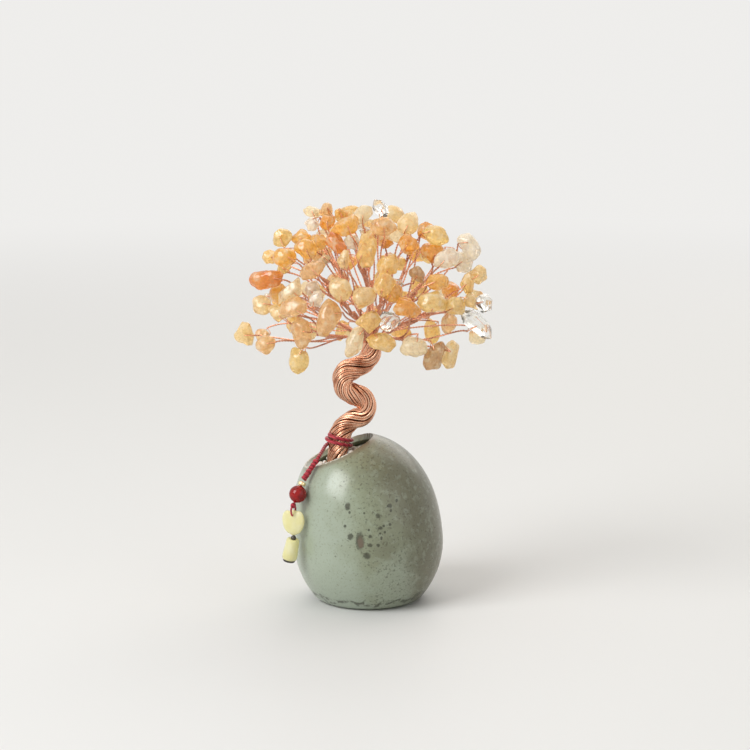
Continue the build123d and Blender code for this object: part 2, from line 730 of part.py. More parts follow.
# Beads on the drop cord
spacer_place = bead_place - drop_way * (BEAD_RADIUS + BEAD_GAP + SPACER_THICKNESS / 2)
with BuildPart(Plane(TASSEL.from_local_coords(spacer_place), z_dir=drop_line)) as spacer_bead:
    Cylinder(SPACER_RADIUS, SPACER_THICKNESS)
    fillet(spacer_bead.edges().filter_by(GeomType.CIRCLE), SPACER_ROUND)
    Cylinder(BEAD_HOLE, SPACER_THICKNESS, mode=Mode.SUBTRACT)
keep(spacer_bead, "spacer_bead")
with BuildPart(Plane(TASSEL.from_local_coords(bead_place), z_dir=drop_line)) as red_bead:
    Sphere(BEAD_RADIUS)
    Cylinder(BEAD_HOLE, 2 * BEAD_RADIUS, mode=Mode.SUBTRACT)
keep(red_bead, "red_bead")

# Stop knot, with the eye that carries the upper charm
hang_line = Plane(TASSEL.from_local_coords(stop_place), x_dir=CHARM_OUT, z_dir=CHARM_SIDE)
eye_drop = EYE_RING - EYE_LIFT
with BuildPart(hang_line) as stop_knot:
    Sphere(STOP_RADIUS, rotation=(0, 90, 0))
    with BuildSketch(hang_line):
        with Locations((0, -eye_drop)):
            Circle(EYE_RING + EYE_WIRE)
            Circle(EYE_RING - EYE_WIRE, mode=Mode.SUBTRACT)
    extrude(amount=EYE_THICKNESS / 2, both=True)
keep(stop_knot, "stop_knot")

# Upper charm: a flat petal, drilled near its top for the eye
upper_top = -STOP_RADIUS - UPPER_GAP
charm_face = Plane(hang_line.origin, x_dir=CHARM_SIDE * -1, z_dir=CHARM_OUT)
with BuildPart() as upper_charm:
    with BuildSketch(charm_face.offset(-UPPER_THICKNESS / 2)):
        with Locations((0, upper_top - UPPER_TOP)):
            Circle(UPPER_TOP)
        with Locations((0, upper_top - UPPER_HEIGHT + UPPER_BOTTOM)):
            Circle(UPPER_BOTTOM)
        make_hull()
    extrude(amount=UPPER_THICKNESS)
    fillet(upper_charm.edges(), UPPER_ROUND)
    with BuildSketch(charm_face.offset(-UPPER_THICKNESS)):
        with Locations((0, -eye_drop - EYE_RING)):
            Circle(EYE_HOLE)
    extrude(amount=2 * UPPER_THICKNESS, mode=Mode.SUBTRACT)
keep(upper_charm, "upper_charm")

# Link bead under the upper charm
link_drop = upper_top - UPPER_HEIGHT - LINK_GAP - LINK_RADIUS
with BuildPart(charm_face) as link_bead:
    with Locations((0, link_drop)):
        Sphere(LINK_RADIUS)
keep(link_bead, "link_bead")

# Lower charm: a tapered tube that swings on the link bead, with a band round its end
link_place = charm_face.from_local_coords(Vector(0, link_drop))
lower_way = charm_face.y_dir * -cos(radians(LOWER_LEAN)) - charm_face.x_dir * sin(radians(LOWER_LEAN))
lower_plane = Plane(link_place, z_dir=lower_way)
with BuildPart(lower_plane) as lower_charm:
    with Locations((0, 0, LOWER_DROP)):
        Cone(LOWER_TOP, LOWER_BOTTOM, LOWER_LENGTH, align=(Align.CENTER, Align.CENTER, Align.MIN))
    fillet(lower_charm.edges().filter_by(GeomType.CIRCLE), LOWER_ROUND)
    Sphere(LINK_RADIUS + SOCKET_ROOM, mode=Mode.SUBTRACT)
keep(lower_charm, "lower_charm")
with BuildPart(lower_plane) as end_band:
    with Locations((0, 0, LOWER_DROP + LOWER_LENGTH)):
        Cylinder(BAND_RADIUS, BAND_HEIGHT, align=(Align.CENTER, Align.CENTER, Align.MIN))
keep(end_band, "end_band")
for place_name, place in {
    "rim crossing": TASSEL.from_local_coords(rim_place),
    "bead": TASSEL.from_local_coords(bead_place),
    "spacer": TASSEL.from_local_coords(spacer_place),
    "eye": charm_face.from_local_coords(Vector(0, -eye_drop - EYE_RING)),
    "link": link_place,
    "along the drop": drop_line,
    "across the tassel": TASSEL.z_dir,
    "out of the charms": CHARM_OUT,
}.items():
    print(place_name, [round(value, 4) for value in place])
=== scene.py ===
"""Gemstone tree ornament: citrine chips on copper twigs, a snaking wire trunk, a glazed pot and a tassel."""

import logging
from dataclasses import dataclass, field
from enum import Enum
from math import acos, atan2, cos, hypot, pi, radians, sin, sqrt, tan
from random import Random
from typing import NamedTuple

import bpy
from mathutils import Matrix, Vector


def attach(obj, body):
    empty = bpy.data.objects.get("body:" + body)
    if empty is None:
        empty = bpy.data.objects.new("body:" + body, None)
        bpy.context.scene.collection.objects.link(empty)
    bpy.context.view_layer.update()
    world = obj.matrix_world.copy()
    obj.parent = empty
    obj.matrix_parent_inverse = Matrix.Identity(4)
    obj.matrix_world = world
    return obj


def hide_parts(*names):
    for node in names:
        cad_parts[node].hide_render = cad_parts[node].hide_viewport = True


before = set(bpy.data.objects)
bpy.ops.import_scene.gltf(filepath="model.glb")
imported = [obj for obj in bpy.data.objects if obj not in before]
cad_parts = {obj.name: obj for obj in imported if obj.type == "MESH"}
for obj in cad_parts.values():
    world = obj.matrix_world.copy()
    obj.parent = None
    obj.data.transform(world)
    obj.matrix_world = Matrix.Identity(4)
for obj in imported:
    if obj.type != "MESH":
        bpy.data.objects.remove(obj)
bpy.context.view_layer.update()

MM = 0.001
TREE = "tree_and_pot"
TASSEL = "tassel"
TRUNK_CORNERS = (
    (-10.5, 0.0, 28.0), (-10.5, 0.0, 50.0), (-9.0, 0.5, 59.0), (4.7, 0.0, 66.0),
    (-14.4, -2.5, 74.2), (0.8, 0.0, 81.5), (0.8, 0.0, 87.5),
)
HEART = Vector(TRUNK_CORNERS[-1]) * MM
MOUTH = Vector((-21.3, 0.0, 45.8)) * MM
MOUTH_TILT = radians(24)
SIGHT_PITCH = radians(10)
SIGHT_UP = Vector((0.0, sin(SIGHT_PITCH), cos(SIGHT_PITCH)))
UP = Vector((0.0, 0.0, 1.0))
log = logging.getLogger("gemstone_tree")


def mm(*values: float) -> Vector:
    """A place given in millimetres."""
    return Vector(values) * MM


class Palette:
    """A new material, with short ways to add its nodes and join them."""

    def __init__(self, name: str) -> None:
        """Start the material.

        Args:
            name: The finish's name.
        """
        self.material = bpy.data.materials.new(name)
        self.material.use_nodes = True
        self.tree = self.material.node_tree
        self.shader = self.tree.nodes["Principled BSDF"]
        self.coordinates = self.tree.nodes.new("ShaderNodeTexCoord")

    def node(self, kind: str, inputs: dict | None = None, **settings) -> bpy.types.Node:
        """Add a node.

        Args:
            kind: Its type, without the common start of such names.
            inputs: Values or outputs for its input sockets, by name or number.
            settings: Its own settings.

        Returns:
            The node.
        """
        node = self.tree.nodes.new("ShaderNode" + kind)
        for key, value in settings.items():
            setattr(node, key, value)
        for key, value in (inputs or {}).items():
            self.feed(node.inputs[key], value)
        return node

    def feed(self, socket: bpy.types.NodeSocket, value: object) -> None:
        """Link an output to a socket, or set the socket's own value.

        Args:
            socket: The input socket.
            value: An output socket, a number or a colour.
        """
        if isinstance(value, bpy.types.NodeSocket):
            self.tree.links.new(value, socket)
        else:
            socket.default_value = value

    def shade(self, **inputs: object) -> None:
        """Feed the shader's sockets, named with underscores for spaces."""
        for key, value in inputs.items():
            self.feed(self.shader.inputs[key.replace("_", " ")], value)

    @property
    def place(self) -> bpy.types.NodeSocket:
        """The place on the piece, in metres."""
        return self.coordinates.outputs["Object"]

    def noise(self, size: float, detail: float = 3.0, rough: float = 0.55) -> bpy.types.NodeSocket:
        """Cloudy noise.

        Args:
            size: Size of a cloud, in metres.
            detail: Octaves of finer noise.
            rough: Share of the finer noise.

        Returns:
            The noise, from 0 to 1.
        """
        inputs = {"Vector": self.place, "Scale": 1 / size, "Detail": detail, "Roughness": rough}
        return self.node("TexNoise", inputs).outputs["Fac"]

    def step(
        self, value: object, low: float, high: float, first: float = 0.0, last: float = 1.0
    ) -> bpy.types.NodeSocket:
        """A value eased from first to last as it goes from low to high."""
        inputs = {"Value": value, "From Min": low, "From Max": high, "To Min": first, "To Max": last}
        return self.node("MapRange", inputs, interpolation_type="SMOOTHSTEP").outputs["Result"]

    def math(self, operation: str, *values: object) -> bpy.types.NodeSocket:
        """The result of a sum on numbers."""
        return self.node("Math", dict(enumerate(values)), operation=operation).outputs[0]

    def mix(self, share: object, first: object, second: object, blend: str = "MIX") -> bpy.types.NodeSocket:
        """Two colours mixed by a share."""
        node = self.node("Mix", {"Factor": share}, data_type="RGBA", blend_type=blend)
        self.feed(node.inputs["A"], first)
        self.feed(node.inputs["B"], second)
        return node.outputs["Result"]

    def layer(self, below: object, mask: object, strength: float, above: object) -> bpy.types.NodeSocket:
        """A colour laid over another, where a mask shows it and at a strength."""
        return self.mix(self.math("MULTIPLY", mask, strength), below, above)

    def blend(self, share: object, other: bpy.types.NodeSocket) -> None:
        """Show a share of another shader over the material's own."""
        both = self.node("MixShader", {0: share, 1: self.shader.outputs["BSDF"], 2: other})
        self.feed(self.tree.nodes["Material Output"].inputs["Surface"], both.outputs["Shader"])

    def let_through(self, share: object, colour: object) -> None:
        """Let a share of the light from behind glow through the surface in a colour."""
        self.blend(share, self.node("BsdfTranslucent", {"Color": colour}).outputs["BSDF"])

    def bump(self, height: object, depth: float, strength: float = 1.0) -> None:
        """Raise the surface by a height from 0 to 1 times a depth in metres."""
        node = self.node("Bump", {"Height": height, "Distance": depth, "Strength": strength})
        self.shade(Normal=node.outputs["Normal"])


def rgb(red: float, green: float, blue: float) -> tuple[float, float, float, float]:
    """A colour of the palette, with its alpha."""
    return (red, green, blue, 1.0)


def select_only(piece: bpy.types.Object) -> None:
    """Make one object the only selected and the active one."""
    bpy.ops.object.select_all(action="DESELECT")
    piece.select_set(True)
    bpy.context.view_layer.objects.active = piece


def apply_modifiers(piece: bpy.types.Object) -> None:
    """Apply all of a piece's modifiers, in order."""
    select_only(piece)
    for modifier in list(piece.modifiers):
        bpy.ops.object.modifier_apply(modifier=modifier.name)


def apply_place(piece: bpy.types.Object) -> None:
    """Put a piece's place, turn and size into its mesh."""
    select_only(piece)
    bpy.ops.object.transform_apply(location=True, rotation=True, scale=True)


def smooth(piece: bpy.types.Object, angle: float = radians(40)) -> None:
    """Shade a piece smooth, apart from its sharp edges."""
    select_only(piece)
    bpy.ops.object.shade_smooth_by_angle(angle=angle)


def joined(pieces: list[bpy.types.Object], name: str) -> bpy.types.Object:
    """Join objects into one.

    Args:
        pieces: The objects.
        name: The name of the whole.

    Returns:
        The joined object.
    """
    bpy.ops.object.select_all(action="DESELECT")
    for piece in pieces:
        piece.select_set(True)
    bpy.context.view_layer.objects.active = pieces[0]
    if len(pieces) > 1:
        bpy.ops.object.join()
    pieces[0].name = name
    pieces[0].data.name = name
    return pieces[0]


def dress(
    piece: bpy.types.Object, finish: bpy.types.Material | None, body: str, slot: str, *nodes: str
) -> None:
    """Give a finished piece its finish, the body that it moves with and the nodes that it stands for.

    Args:
        piece: The finished piece.
        finish: Its material, or nothing if its faces have theirs.
        body: The body's name.
        slot: The name of its material slot; not used.
        nodes: Names of the nodes that it stands for.
    """
    if finish:
        piece.data.materials.clear()
        piece.data.materials.append(finish)
    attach(piece, body)
    if nodes:
        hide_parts(*nodes)
    log.info("%s rides on %s", piece.name, body)


def wires(name: str, routes: list[list[Vector]], radius: float, rounding: int = 1) -> bpy.types.Object:
    """Round wires along routes, as one mesh.

    Args:
        name: The piece's name.
        routes: The points along each wire's middle.
        radius: The wires' radius.
        rounding: How round their section is.

    Returns:
        The piece.
    """
    curve = bpy.data.curves.new(name, "CURVE")
    curve.dimensions = "3D"
    curve.bevel_depth = radius
    curve.bevel_resolution = rounding
    curve.use_fill_caps = True
    for route in routes:
        spline = curve.splines.new("POLY")
        spline.points.add(len(route) - 1)
        for point, place in zip(spline.points, route):
            point.co = (*place, 1.0)
    piece = bpy.data.objects.new(name, curve)
    bpy.context.collection.objects.link(piece)
    select_only(piece)
    bpy.ops.object.convert(target="MESH")
    bpy.ops.object.shade_smooth()
    return piece


def in_metres(rings: tuple) -> list[tuple[float, float]]:
    """Radius and height of rings that are given in millimetres."""
    return [(radius * MM, height * MM) for radius, height in rings]


def lathe(name: str, rings: list[tuple[float, float]], sides: int = 32) -> bpy.types.Object:
    """A turned piece about +Z, closed at both ends, made ring by ring from a disc.

    Args:
        name: The piece's name.
        rings: Radius and height of each ring, from the bottom up.
        sides: Corners of a ring.

    Returns:
        The piece, at the origin.
    """
    bpy.ops.object.select_all(action="DESELECT")
    radius, height = rings[0]
    bpy.ops.mesh.primitive_circle_add(
        vertices=sides, radius=radius, fill_type="NGON", location=(0, 0, height)
    )
    piece = bpy.context.object
    piece.name = name
    apply_place(piece)
    bpy.ops.object.mode_set(mode="EDIT")
    bpy.ops.mesh.select_all(action="SELECT")
    for next_radius, next_height in rings[1:]:
        bpy.ops.mesh.extrude_region_move(TRANSFORM_OT_translate={"value": (0, 0, next_height - height)})
        share = next_radius / radius
        bpy.ops.transform.resize(value=(share, share, 1), center_override=(0, 0, next_height))
        radius, height = next_radius, next_height
    bpy.ops.mesh.select_all(action="SELECT")
    bpy.ops.mesh.normals_make_consistent(inside=False)
    bpy.ops.object.mode_set(mode="OBJECT")
    return piece


def put(piece: bpy.types.Object, place: Vector, along: Vector) -> bpy.types.Object:
    """Stand a piece that was made about +Z at a place, along a direction.

    Args:
        piece: The piece, made at the origin.
        place: Where its origin goes.
        along: Where its +Z goes.

    Returns:
        The piece.
    """
    piece.rotation_mode = "QUATERNION"
    piece.rotation_quaternion = along.to_track_quat("Z", "Y")
    piece.location = place
    apply_place(piece)
    return piece


class Tint(Enum):
    """Body colours of the stones."""

    CREAM = (0.99, 0.88, 0.64)
    WHITE = (0.99, 0.93, 0.82)
    PALE = (0.98, 0.79, 0.44)
    YELLOW = (0.99, 0.74, 0.31)
    GOLDEN = (0.99, 0.66, 0.20)
    AMBER = (0.95, 0.53, 0.12)
    ORANGE = (0.88, 0.38, 0.07)
    TAN = (0.95, 0.68, 0.36)
    OLIVE = (0.97, 0.77, 0.36)
    BROWN = (0.74, 0.50, 0.26)
    QUARTZ = (0.98, 0.97, 0.94)


# Tints drawn for the stones at the back, the common ones more often.
BACK_TINTS = (
    Tint.CREAM, Tint.PALE, Tint.PALE, Tint.YELLOW, Tint.YELLOW,
    Tint.GOLDEN, Tint.AMBER, Tint.TAN, Tint.OLIVE, Tint.WHITE,
)
# Tints of the stones at the front, by place across and up from the crown's heart as seen, in millimetres.
FRONT_TINTS = (
    (-19.5, 43.2, Tint.CREAM), (-14.3, 43.5, Tint.TAN), (-19.2, 38.0, Tint.WHITE), (-14.3, 38.7, Tint.AMBER),
    (-7.8, 37.3, Tint.GOLDEN), (-10.2, 42.3, Tint.GOLDEN), (-5.5, 43.7, Tint.BROWN), (-2.5, 41.3, Tint.CREAM),
    (3.5, 43.5, Tint.QUARTZ), (3.8, 37.0, Tint.TAN), (-1.5, 35.7, Tint.QUARTZ), (12.5, 38.0, Tint.PALE),
    (12.5, 31.0, Tint.AMBER), (4.8, 31.8, Tint.AMBER), (21.0, 34.3, Tint.OLIVE), (20.7, 28.7, Tint.AMBER),
    (24.8, 27.0, Tint.WHITE), (32.7, 30.7, Tint.WHITE), (30.5, 26.3, Tint.WHITE), (35.3, 21.7, Tint.PALE),
    (31.2, 18.3, Tint.YELLOW), (31.8, 13.3, Tint.PALE), (36.8, 12.5, Tint.QUARTZ), (34.5, 5.7, Tint.QUARTZ),
    (21.7, 18.2, Tint.GOLDEN), (15.0, 21.3, Tint.BROWN), (19.2, 12.0, Tint.OLIVE), (27.3, 11.0, Tint.OLIVE),
    (11.8, 11.0, Tint.AMBER), (5.5, 23.3, Tint.YELLOW), (4.7, 18.5, Tint.YELLOW), (7.3, 15.0, Tint.GOLDEN),
    (-0.8, 29.5, Tint.YELLOW), (-11.5, 31.3, Tint.ORANGE), (-8.5, 26.3, Tint.PALE),
    (-17.2, 32.2, Tint.GOLDEN), (-23.0, 34.0, Tint.GOLDEN), (-29.0, 34.0, Tint.OLIVE),
    (-21.0, 29.5, Tint.GOLDEN), (-27.5, 27.2, Tint.GOLDEN), (-33.2, 27.7, Tint.YELLOW),
    (-28.7, 23.5, Tint.OLIVE), (-15.3, 26.8, Tint.CREAM), (-33.8, 20.0, Tint.ORANGE),
    (-19.2, 22.3, Tint.TAN), (-24.8, 15.8, Tint.CREAM), (-30.2, 15.8, Tint.GOLDEN), (-33.8, 14.8, Tint.WHITE),
    (-35.2, 11.7, Tint.PALE), (-29.8, 9.0, Tint.PALE), (-24.8, 10.5, Tint.TAN), (-22.5, 3.3, Tint.TAN),
    (-18.8, 17.0, Tint.WHITE), (-17.3, 13.0, Tint.WHITE), (-13.2, 8.0, Tint.TAN), (-9.3, 15.0, Tint.PALE),
    (-2.5, 13.7, Tint.PALE), (-4.8, 0.0, Tint.CREAM), (-0.7, 5.3, Tint.YELLOW), (3.8, -0.7, Tint.YELLOW),
    (5.3, 6.0, Tint.QUARTZ), (13.8, -2.0, Tint.CREAM), (20.5, -5.3, Tint.BROWN), (25.2, -4.7, Tint.PALE),
    (-41.8, 2.0, Tint.PALE), (-34.2, -1.3, Tint.TAN), (-23.2, -6.5, Tint.OLIVE), (8.5, 18.7, Tint.QUARTZ),
    (-6.2, 32.7, Tint.WHITE),
)


@dataclass(frozen=True)
class CitrineFinish:
    """Tumbled citrine: a tinted, cloudy and translucent stone with pits and a wet polish."""

    veil: tuple = rgb(1.0, 0.92, 0.70)
    stain: tuple = rgb(0.92, 0.58, 0.24)
    cloud_size: float = 3.0 * MM
    fleck_size: float = 0.8 * MM
    pit_depth: float = 0.12 * MM
    refraction: float = 1.54

    def material(self) -> bpy.types.Material:
        """Mix the stone's tint with milky veils and darker stains.

        Returns:
            The material.
        """
        palette = Palette("citrine")
        tint = palette.node("Attribute", attribute_name="tint").outputs["Color"]
        clouds = palette.noise(self.cloud_size, 4.0, 0.6)
        flecks = palette.noise(self.fleck_size, 3.0, 0.7)
        body = palette.mix(palette.step(clouds, 0.50, 0.66, 0.0, 0.75), tint, self.veil)
        body = palette.mix(palette.step(clouds, 0.45, 0.28, 0.0, 0.80), body, self.stain, "MULTIPLY")
        body = palette.mix(palette.step(flecks, 0.60, 0.76, 0.0, 0.35), body, self.veil)
        palette.shade(
            Base_Color=body,
            Roughness=palette.step(flecks, 0.3, 0.8, 0.04, 0.20),
            IOR=self.refraction,
            Transmission_Weight=palette.step(clouds, 0.35, 0.65, 0.75, 0.30),
            Coat_Weight=0.6,
            Coat_Roughness=0.03,
        )
        palette.let_through(palette.step(clouds, 0.35, 0.65, 0.20, 0.45), body)
        palette.bump(clouds, self.pit_depth, 0.6)
        return palette.material


@dataclass(frozen=True)
class QuartzFinish:
    """Clear rock crystal with a few milky veils."""

    clear: tuple = rgb(0.97, 0.96, 0.93)
    veil: tuple = rgb(0.92, 0.86, 0.72)
    cloud_size: float = 3.0 * MM
    refraction: float = 1.54

    def material(self) -> bpy.types.Material:
        """Clear glass with veils.

        Returns:
            The material.
        """
        palette = Palette("rock_crystal")
        clouds = palette.noise(self.cloud_size, 3.0, 0.6)
        palette.shade(
            Base_Color=palette.mix(palette.step(clouds, 0.5, 0.7), self.clear, self.veil),
            Roughness=palette.step(clouds, 0.5, 0.8, 0.02, 0.25),
            IOR=self.refraction,
            Transmission_Weight=palette.step(clouds, 0.5, 0.75, 0.97, 0.7),
        )
        return palette.material


@dataclass(frozen=True)
class CopperFinish:
    """Bright drawn copper wire, a little darker and duller where it has tarnished; a lighter and a darker copy
    of it are painted highlight and painted shade.
    """

    name: str = "copper_wire"
    bright: tuple = rgb(0.80, 0.42, 0.27)
    tarnish_and_shade: tuple = rgb(0.34, 0.11, 0.05)
    patch_size: float = 5.0 * MM
    scratch_size: float = 0.35 * MM
    scratch_depth: float = 0.02 * MM

    def material(self) -> bpy.types.Material:
        """Metal with patches of tarnish and fine drawing marks.

        Returns:
            The material.
        """
        palette = Palette(self.name)
        patches = palette.noise(self.patch_size, 4.0)
        marks = palette.noise(self.scratch_size, 2.0)
        palette.shade(
            Base_Color=palette.mix(palette.step(patches, 0.45, 0.72, 0.0, 0.8), self.bright, self.tarnish_and_shade),
            Metallic=1.0,
            Roughness=palette.step(marks, 0.3, 0.7, 0.17, 0.33),
        )
        palette.bump(marks, self.scratch_depth, 0.5)
        return palette.material


# A paler copy of the copper for every other outer trunk wire: a painted highlight.
HIGHLIGHT_COPPER = CopperFinish("painted_highlight_copper", rgb(0.91, 0.60, 0.43), rgb(0.45, 0.19, 0.10))
# A dark copy of the copper for the inner wires and the core: painted shade in the gaps between the outer
# wires.
PAINTED_SHADE_COPPER = CopperFinish("painted_shade_copper", rgb(0.34, 0.11, 0.05), rgb(0.18, 0.05, 0.025))


class Spot(NamedTuple):
    """A patch on the pot's front, by its place and its half sizes in millimetres: a dark mark in the glaze,
    and also the band of painted reflection.
    """

    across: float
    height: float
    half_width: float
    half_height: float


@dataclass(frozen=True)
class GlazeFinish:
    """Celadon glaze: sage green with olive grain, iron speckles, a few iron spots and a thin brown rim,
    lighter and cooler on the left and darker olive to the right and top as painted light and shade, with a
    painted reflection low on the front and a painted highlight on the left of the lip.
    """

    sage: tuple = rgb(0.255, 0.285, 0.185)
    # The cool tone is the painted light on the left side, the painted reflection and the mottles; the olive
    # tone is the painted shade on the right and top and the grain.
    cool_mottle_and_lit_side: tuple = rgb(0.36, 0.415, 0.325)
    olive_grain_and_shaded_side: tuple = rgb(0.115, 0.105, 0.057)
    iron: tuple = rgb(0.035, 0.036, 0.018)
    speck: tuple = rgb(0.075, 0.075, 0.042)
    rust: tuple = rgb(0.17, 0.12, 0.07)
    clay: tuple = rgb(0.155, 0.11, 0.072)
    # Cream: the painted highlight on the left part of the lip.
    lip_highlight: tuple = rgb(0.80, 0.74, 0.62)
    spots: tuple = (
        Spot(-6.7, 36.8, 0.9, 1.3), Spot(-5.8, 27.1, 1.0, 1.1), Spot(0.6, 27.3, 0.6, 0.6),
        Spot(0.6, 24.3, 0.8, 0.6), Spot(3.3, 24.3, 0.6, 0.6), Spot(-0.4, 20.8, 1.2, 1.1),
        Spot(3.2, 33.9, 0.8, 0.8), Spot(3.9, 29.9, 0.9, 0.6), Spot(5.0, 30.6, 0.5, 0.4),
        Spot(7.0, 36.8, 0.8, 0.7), Spot(-7.6, 30.4, 0.5, 0.5), Spot(4.3, 26.6, 0.4, 0.7),
        Spot(3.9, 28.2, 0.4, 0.4), Spot(5.4, 28.5, 0.4, 0.5), Spot(7.1, 30.9, 0.5, 0.5),
        Spot(-6.1, 34.9, 0.4, 0.5), Spot(-1.3, 34.8, 0.4, 0.4), Spot(9.3, 38.2, 0.5, 0.5),
        Spot(0.2, 29.4, 0.4, 0.4), Spot(7.4, 35.2, 0.4, 0.5),
    )
    oval: Spot = Spot(-2.5, 25.3, 1.0, 2.0)
    oval_edge: Spot = Spot(-2.7, 25.7, 1.4, 3.1)
    # A lighter cool band low on the front: a painted reflection.
    painted_reflection_band: Spot = Spot(8.5, 8.0, 8.0, 13.0)
    front: tuple = (-8 * MM, -12 * MM)
    raggedness: float = 2.4
    cloud_size: float = 14 * MM
    cloud_drift: float = 30 * MM
    mottle_size: float = 2.4 * MM
    grain_size: float = 0.8 * MM
    speck_size: float = 0.75 * MM
    drip_size: float = 5 * MM
    drip_level: float = 6.2 * MM
    wave_size: float = 4 * MM
    wave_depth: float = 0.12 * MM

    def marks(self, palette: Palette, spots: tuple, wobble: bpy.types.NodeSocket) -> bpy.types.NodeSocket:
        """Where the front of the pot has marks.

        Args:
            palette: The material.
            spots: The marks.
            wobble: Noise that roughens their edges.

        Returns:
            1 in a mark and 0 outside.
        """
        axes = palette.node("SeparateXYZ", {"Vector": palette.place})
        total = 0.0
        for spot in spots:
            squares = []
            sides = ("X", spot.across, spot.half_width), ("Z", spot.height, spot.half_height)
            for axis, place, half in sides:
                offset = palette.math("MULTIPLY_ADD", axes.outputs[axis], 1 / (half * MM), -place / half)
                squares.append(palette.math("MULTIPLY", offset, offset))
            away = palette.math("ADD", palette.math("ADD", *squares), -self.raggedness / 2)
            rough = palette.math("MULTIPLY_ADD", wobble, self.raggedness, away)
            total = palette.math("MAXIMUM", total, palette.step(rough, 1.5, 0.3))
        return palette.math("MULTIPLY", total, palette.step(axes.outputs["Y"], *self.front))

    def material(self) -> bpy.types.Material:
        """Painted light and shade across the pot, a painted reflection, mottles, grain, speckles, marks, the
        foot's dark line and the rim with a painted highlight on its lip, from the bottom layer up.

        Returns:
            The material.
        """
        palette = Palette("celadon_glaze")
        axes = palette.node("SeparateXYZ", {"Vector": palette.place})
        clouds = palette.noise(self.cloud_size, 4.0, 0.55)
        mottle = palette.noise(self.mottle_size, 3.0, 0.6)
        grain = palette.noise(self.grain_size, 3.0, 0.7)
        specks = palette.noise(self.speck_size, 1.5, 0.5)
        # A drift that rises to the right and upwards, with cloudy noise: it sets the painted light and shade,
        # cool and light on the left and darker olive on the right and top, and how crowded the speckles are.
        drift = palette.math("ADD", axes.outputs["X"], -self.cloud_drift / 2)
        drift = palette.math("MULTIPLY_ADD", clouds, self.cloud_drift, drift)
        drift = palette.math("MULTIPLY_ADD", axes.outputs["Z"], 0.3, palette.math("ADD", drift, -8 * MM))
        colour = palette.mix(palette.step(drift, -16 * MM, 2 * MM), self.cool_mottle_and_lit_side, self.sage)
        colour = palette.mix(palette.step(drift, -4 * MM, 20 * MM, 0.0, 0.85), colour, self.olive_grain_and_shaded_side)
        # Painted reflection: the lower front is lightened towards the cool tone.
        colour = palette.layer(colour, self.marks(palette, (self.painted_reflection_band,), clouds), 0.55, self.cool_mottle_and_lit_side)
        colour = palette.mix(palette.step(mottle, 0.50, 0.68, 0.0, 0.3), colour, self.cool_mottle_and_lit_side)
        colour = palette.mix(palette.step(grain, 0.5, 0.78, 0.0, 0.45), colour, self.olive_grain_and_shaded_side)
        crowd = palette.step(drift, -18 * MM, 4 * MM, 0.70, 0.58)
        peppered = palette.step(palette.math("SUBTRACT", specks, crowd), 0.0, 0.1, 0.0, 0.6)
        colour = palette.mix(peppered, colour, self.speck)
        dark = self.spots + (self.oval_edge,)
        colour = palette.layer(colour, self.marks(palette, dark, grain), 0.85, self.iron)
        colour = palette.layer(colour, self.marks(palette, (self.oval,), grain), 0.8, self.clay)
        level = palette.math("MULTIPLY_ADD", palette.noise(self.drip_size, 2.0), 6 * MM, axes.outputs["Z"])
        off = palette.math("ABSOLUTE", palette.math("ADD", level, -self.drip_level))
        drips = palette.math(
            "MULTIPLY", palette.step(off, 1.3 * MM, 0.3 * MM), palette.step(mottle, 0.42, 0.56)
        )
        colour = palette.layer(colour, drips, 0.8, self.iron)
        rim_level = MOUTH.z * cos(MOUTH_TILT) - MOUTH.x * sin(MOUTH_TILT)
        drop = palette.math("MULTIPLY_ADD", axes.outputs["X"], sin(MOUTH_TILT), rim_level)
        drop = palette.math("MULTIPLY_ADD", axes.outputs["Z"], -cos(MOUTH_TILT), drop)
        uneven = palette.math("MULTIPLY_ADD", grain, 1.2 * MM, drop)
        colour = palette.mix(palette.step(uneven, 2.2 * MM, 1.1 * MM, 0.0, 0.6), colour, self.rust)
        # The lip is cream on its left part, a painted highlight, and rust-brown on its right part, the real
        # brown rim.
        lip_rust_and_highlight = palette.mix(palette.step(axes.outputs["X"], -8 * MM, -3 * MM), self.lip_highlight, self.rust)
        colour = palette.mix(palette.step(uneven, 1.0 * MM, 0.6 * MM, 0.0, 0.85), colour, lip_rust_and_highlight)
        palette.shade(
            Base_Color=colour,
            Roughness=palette.step(grain, 0.3, 0.8, 0.27, 0.40),
            Specular_IOR_Level=0.5,
            Coat_Weight=0.3,
            Coat_Roughness=0.18,
        )
        palette.bump(palette.noise(self.wave_size, 3.0), self.wave_depth, 0.35)
        return palette.material


@dataclass(frozen=True)
class CordFinish:
    """Twisted silky red cord."""

    # Light is a painted highlight on the strands' crowns and dark is painted shade in the grooves between
    # them.
    light: tuple = rgb(0.48, 0.022, 0.042)
    dark: tuple = rgb(0.25, 0.006, 0.016)
    strand: float = 0.55 * MM
    strand_depth: float = 0.15 * MM
    fibre_size: float = 0.25 * MM

    def material(self) -> bpy.types.Material:
        """Slanting strands with fine fibres, dark in the grooves and light on the crowns as painted shade and
        painted highlight.

        Returns:
            The material.
        """
        palette = Palette("red_cord")
        wave = palette.node(
            "TexWave",
            {"Vector": palette.place, "Scale": 0.16 / self.strand, "Distortion": 1.5, "Detail": 1.0},
            bands_direction="DIAGONAL",
        ).outputs["Fac"]
        fibre = palette.noise(self.fibre_size, 2.0)
        palette.shade(
            # The colour follows the strands' height: painted shade low in the grooves, painted highlight on
            # the crowns.
            Base_Color=palette.mix(palette.step(wave, 0.1, 0.6), self.dark, self.light),
            Roughness=palette.step(fibre, 0.3, 0.7, 0.45, 0.65),
            Sheen_Weight=0.4,
            Sheen_Roughness=0.4,
        )
        palette.bump(wave, self.strand_depth, 0.8)
        return palette.material


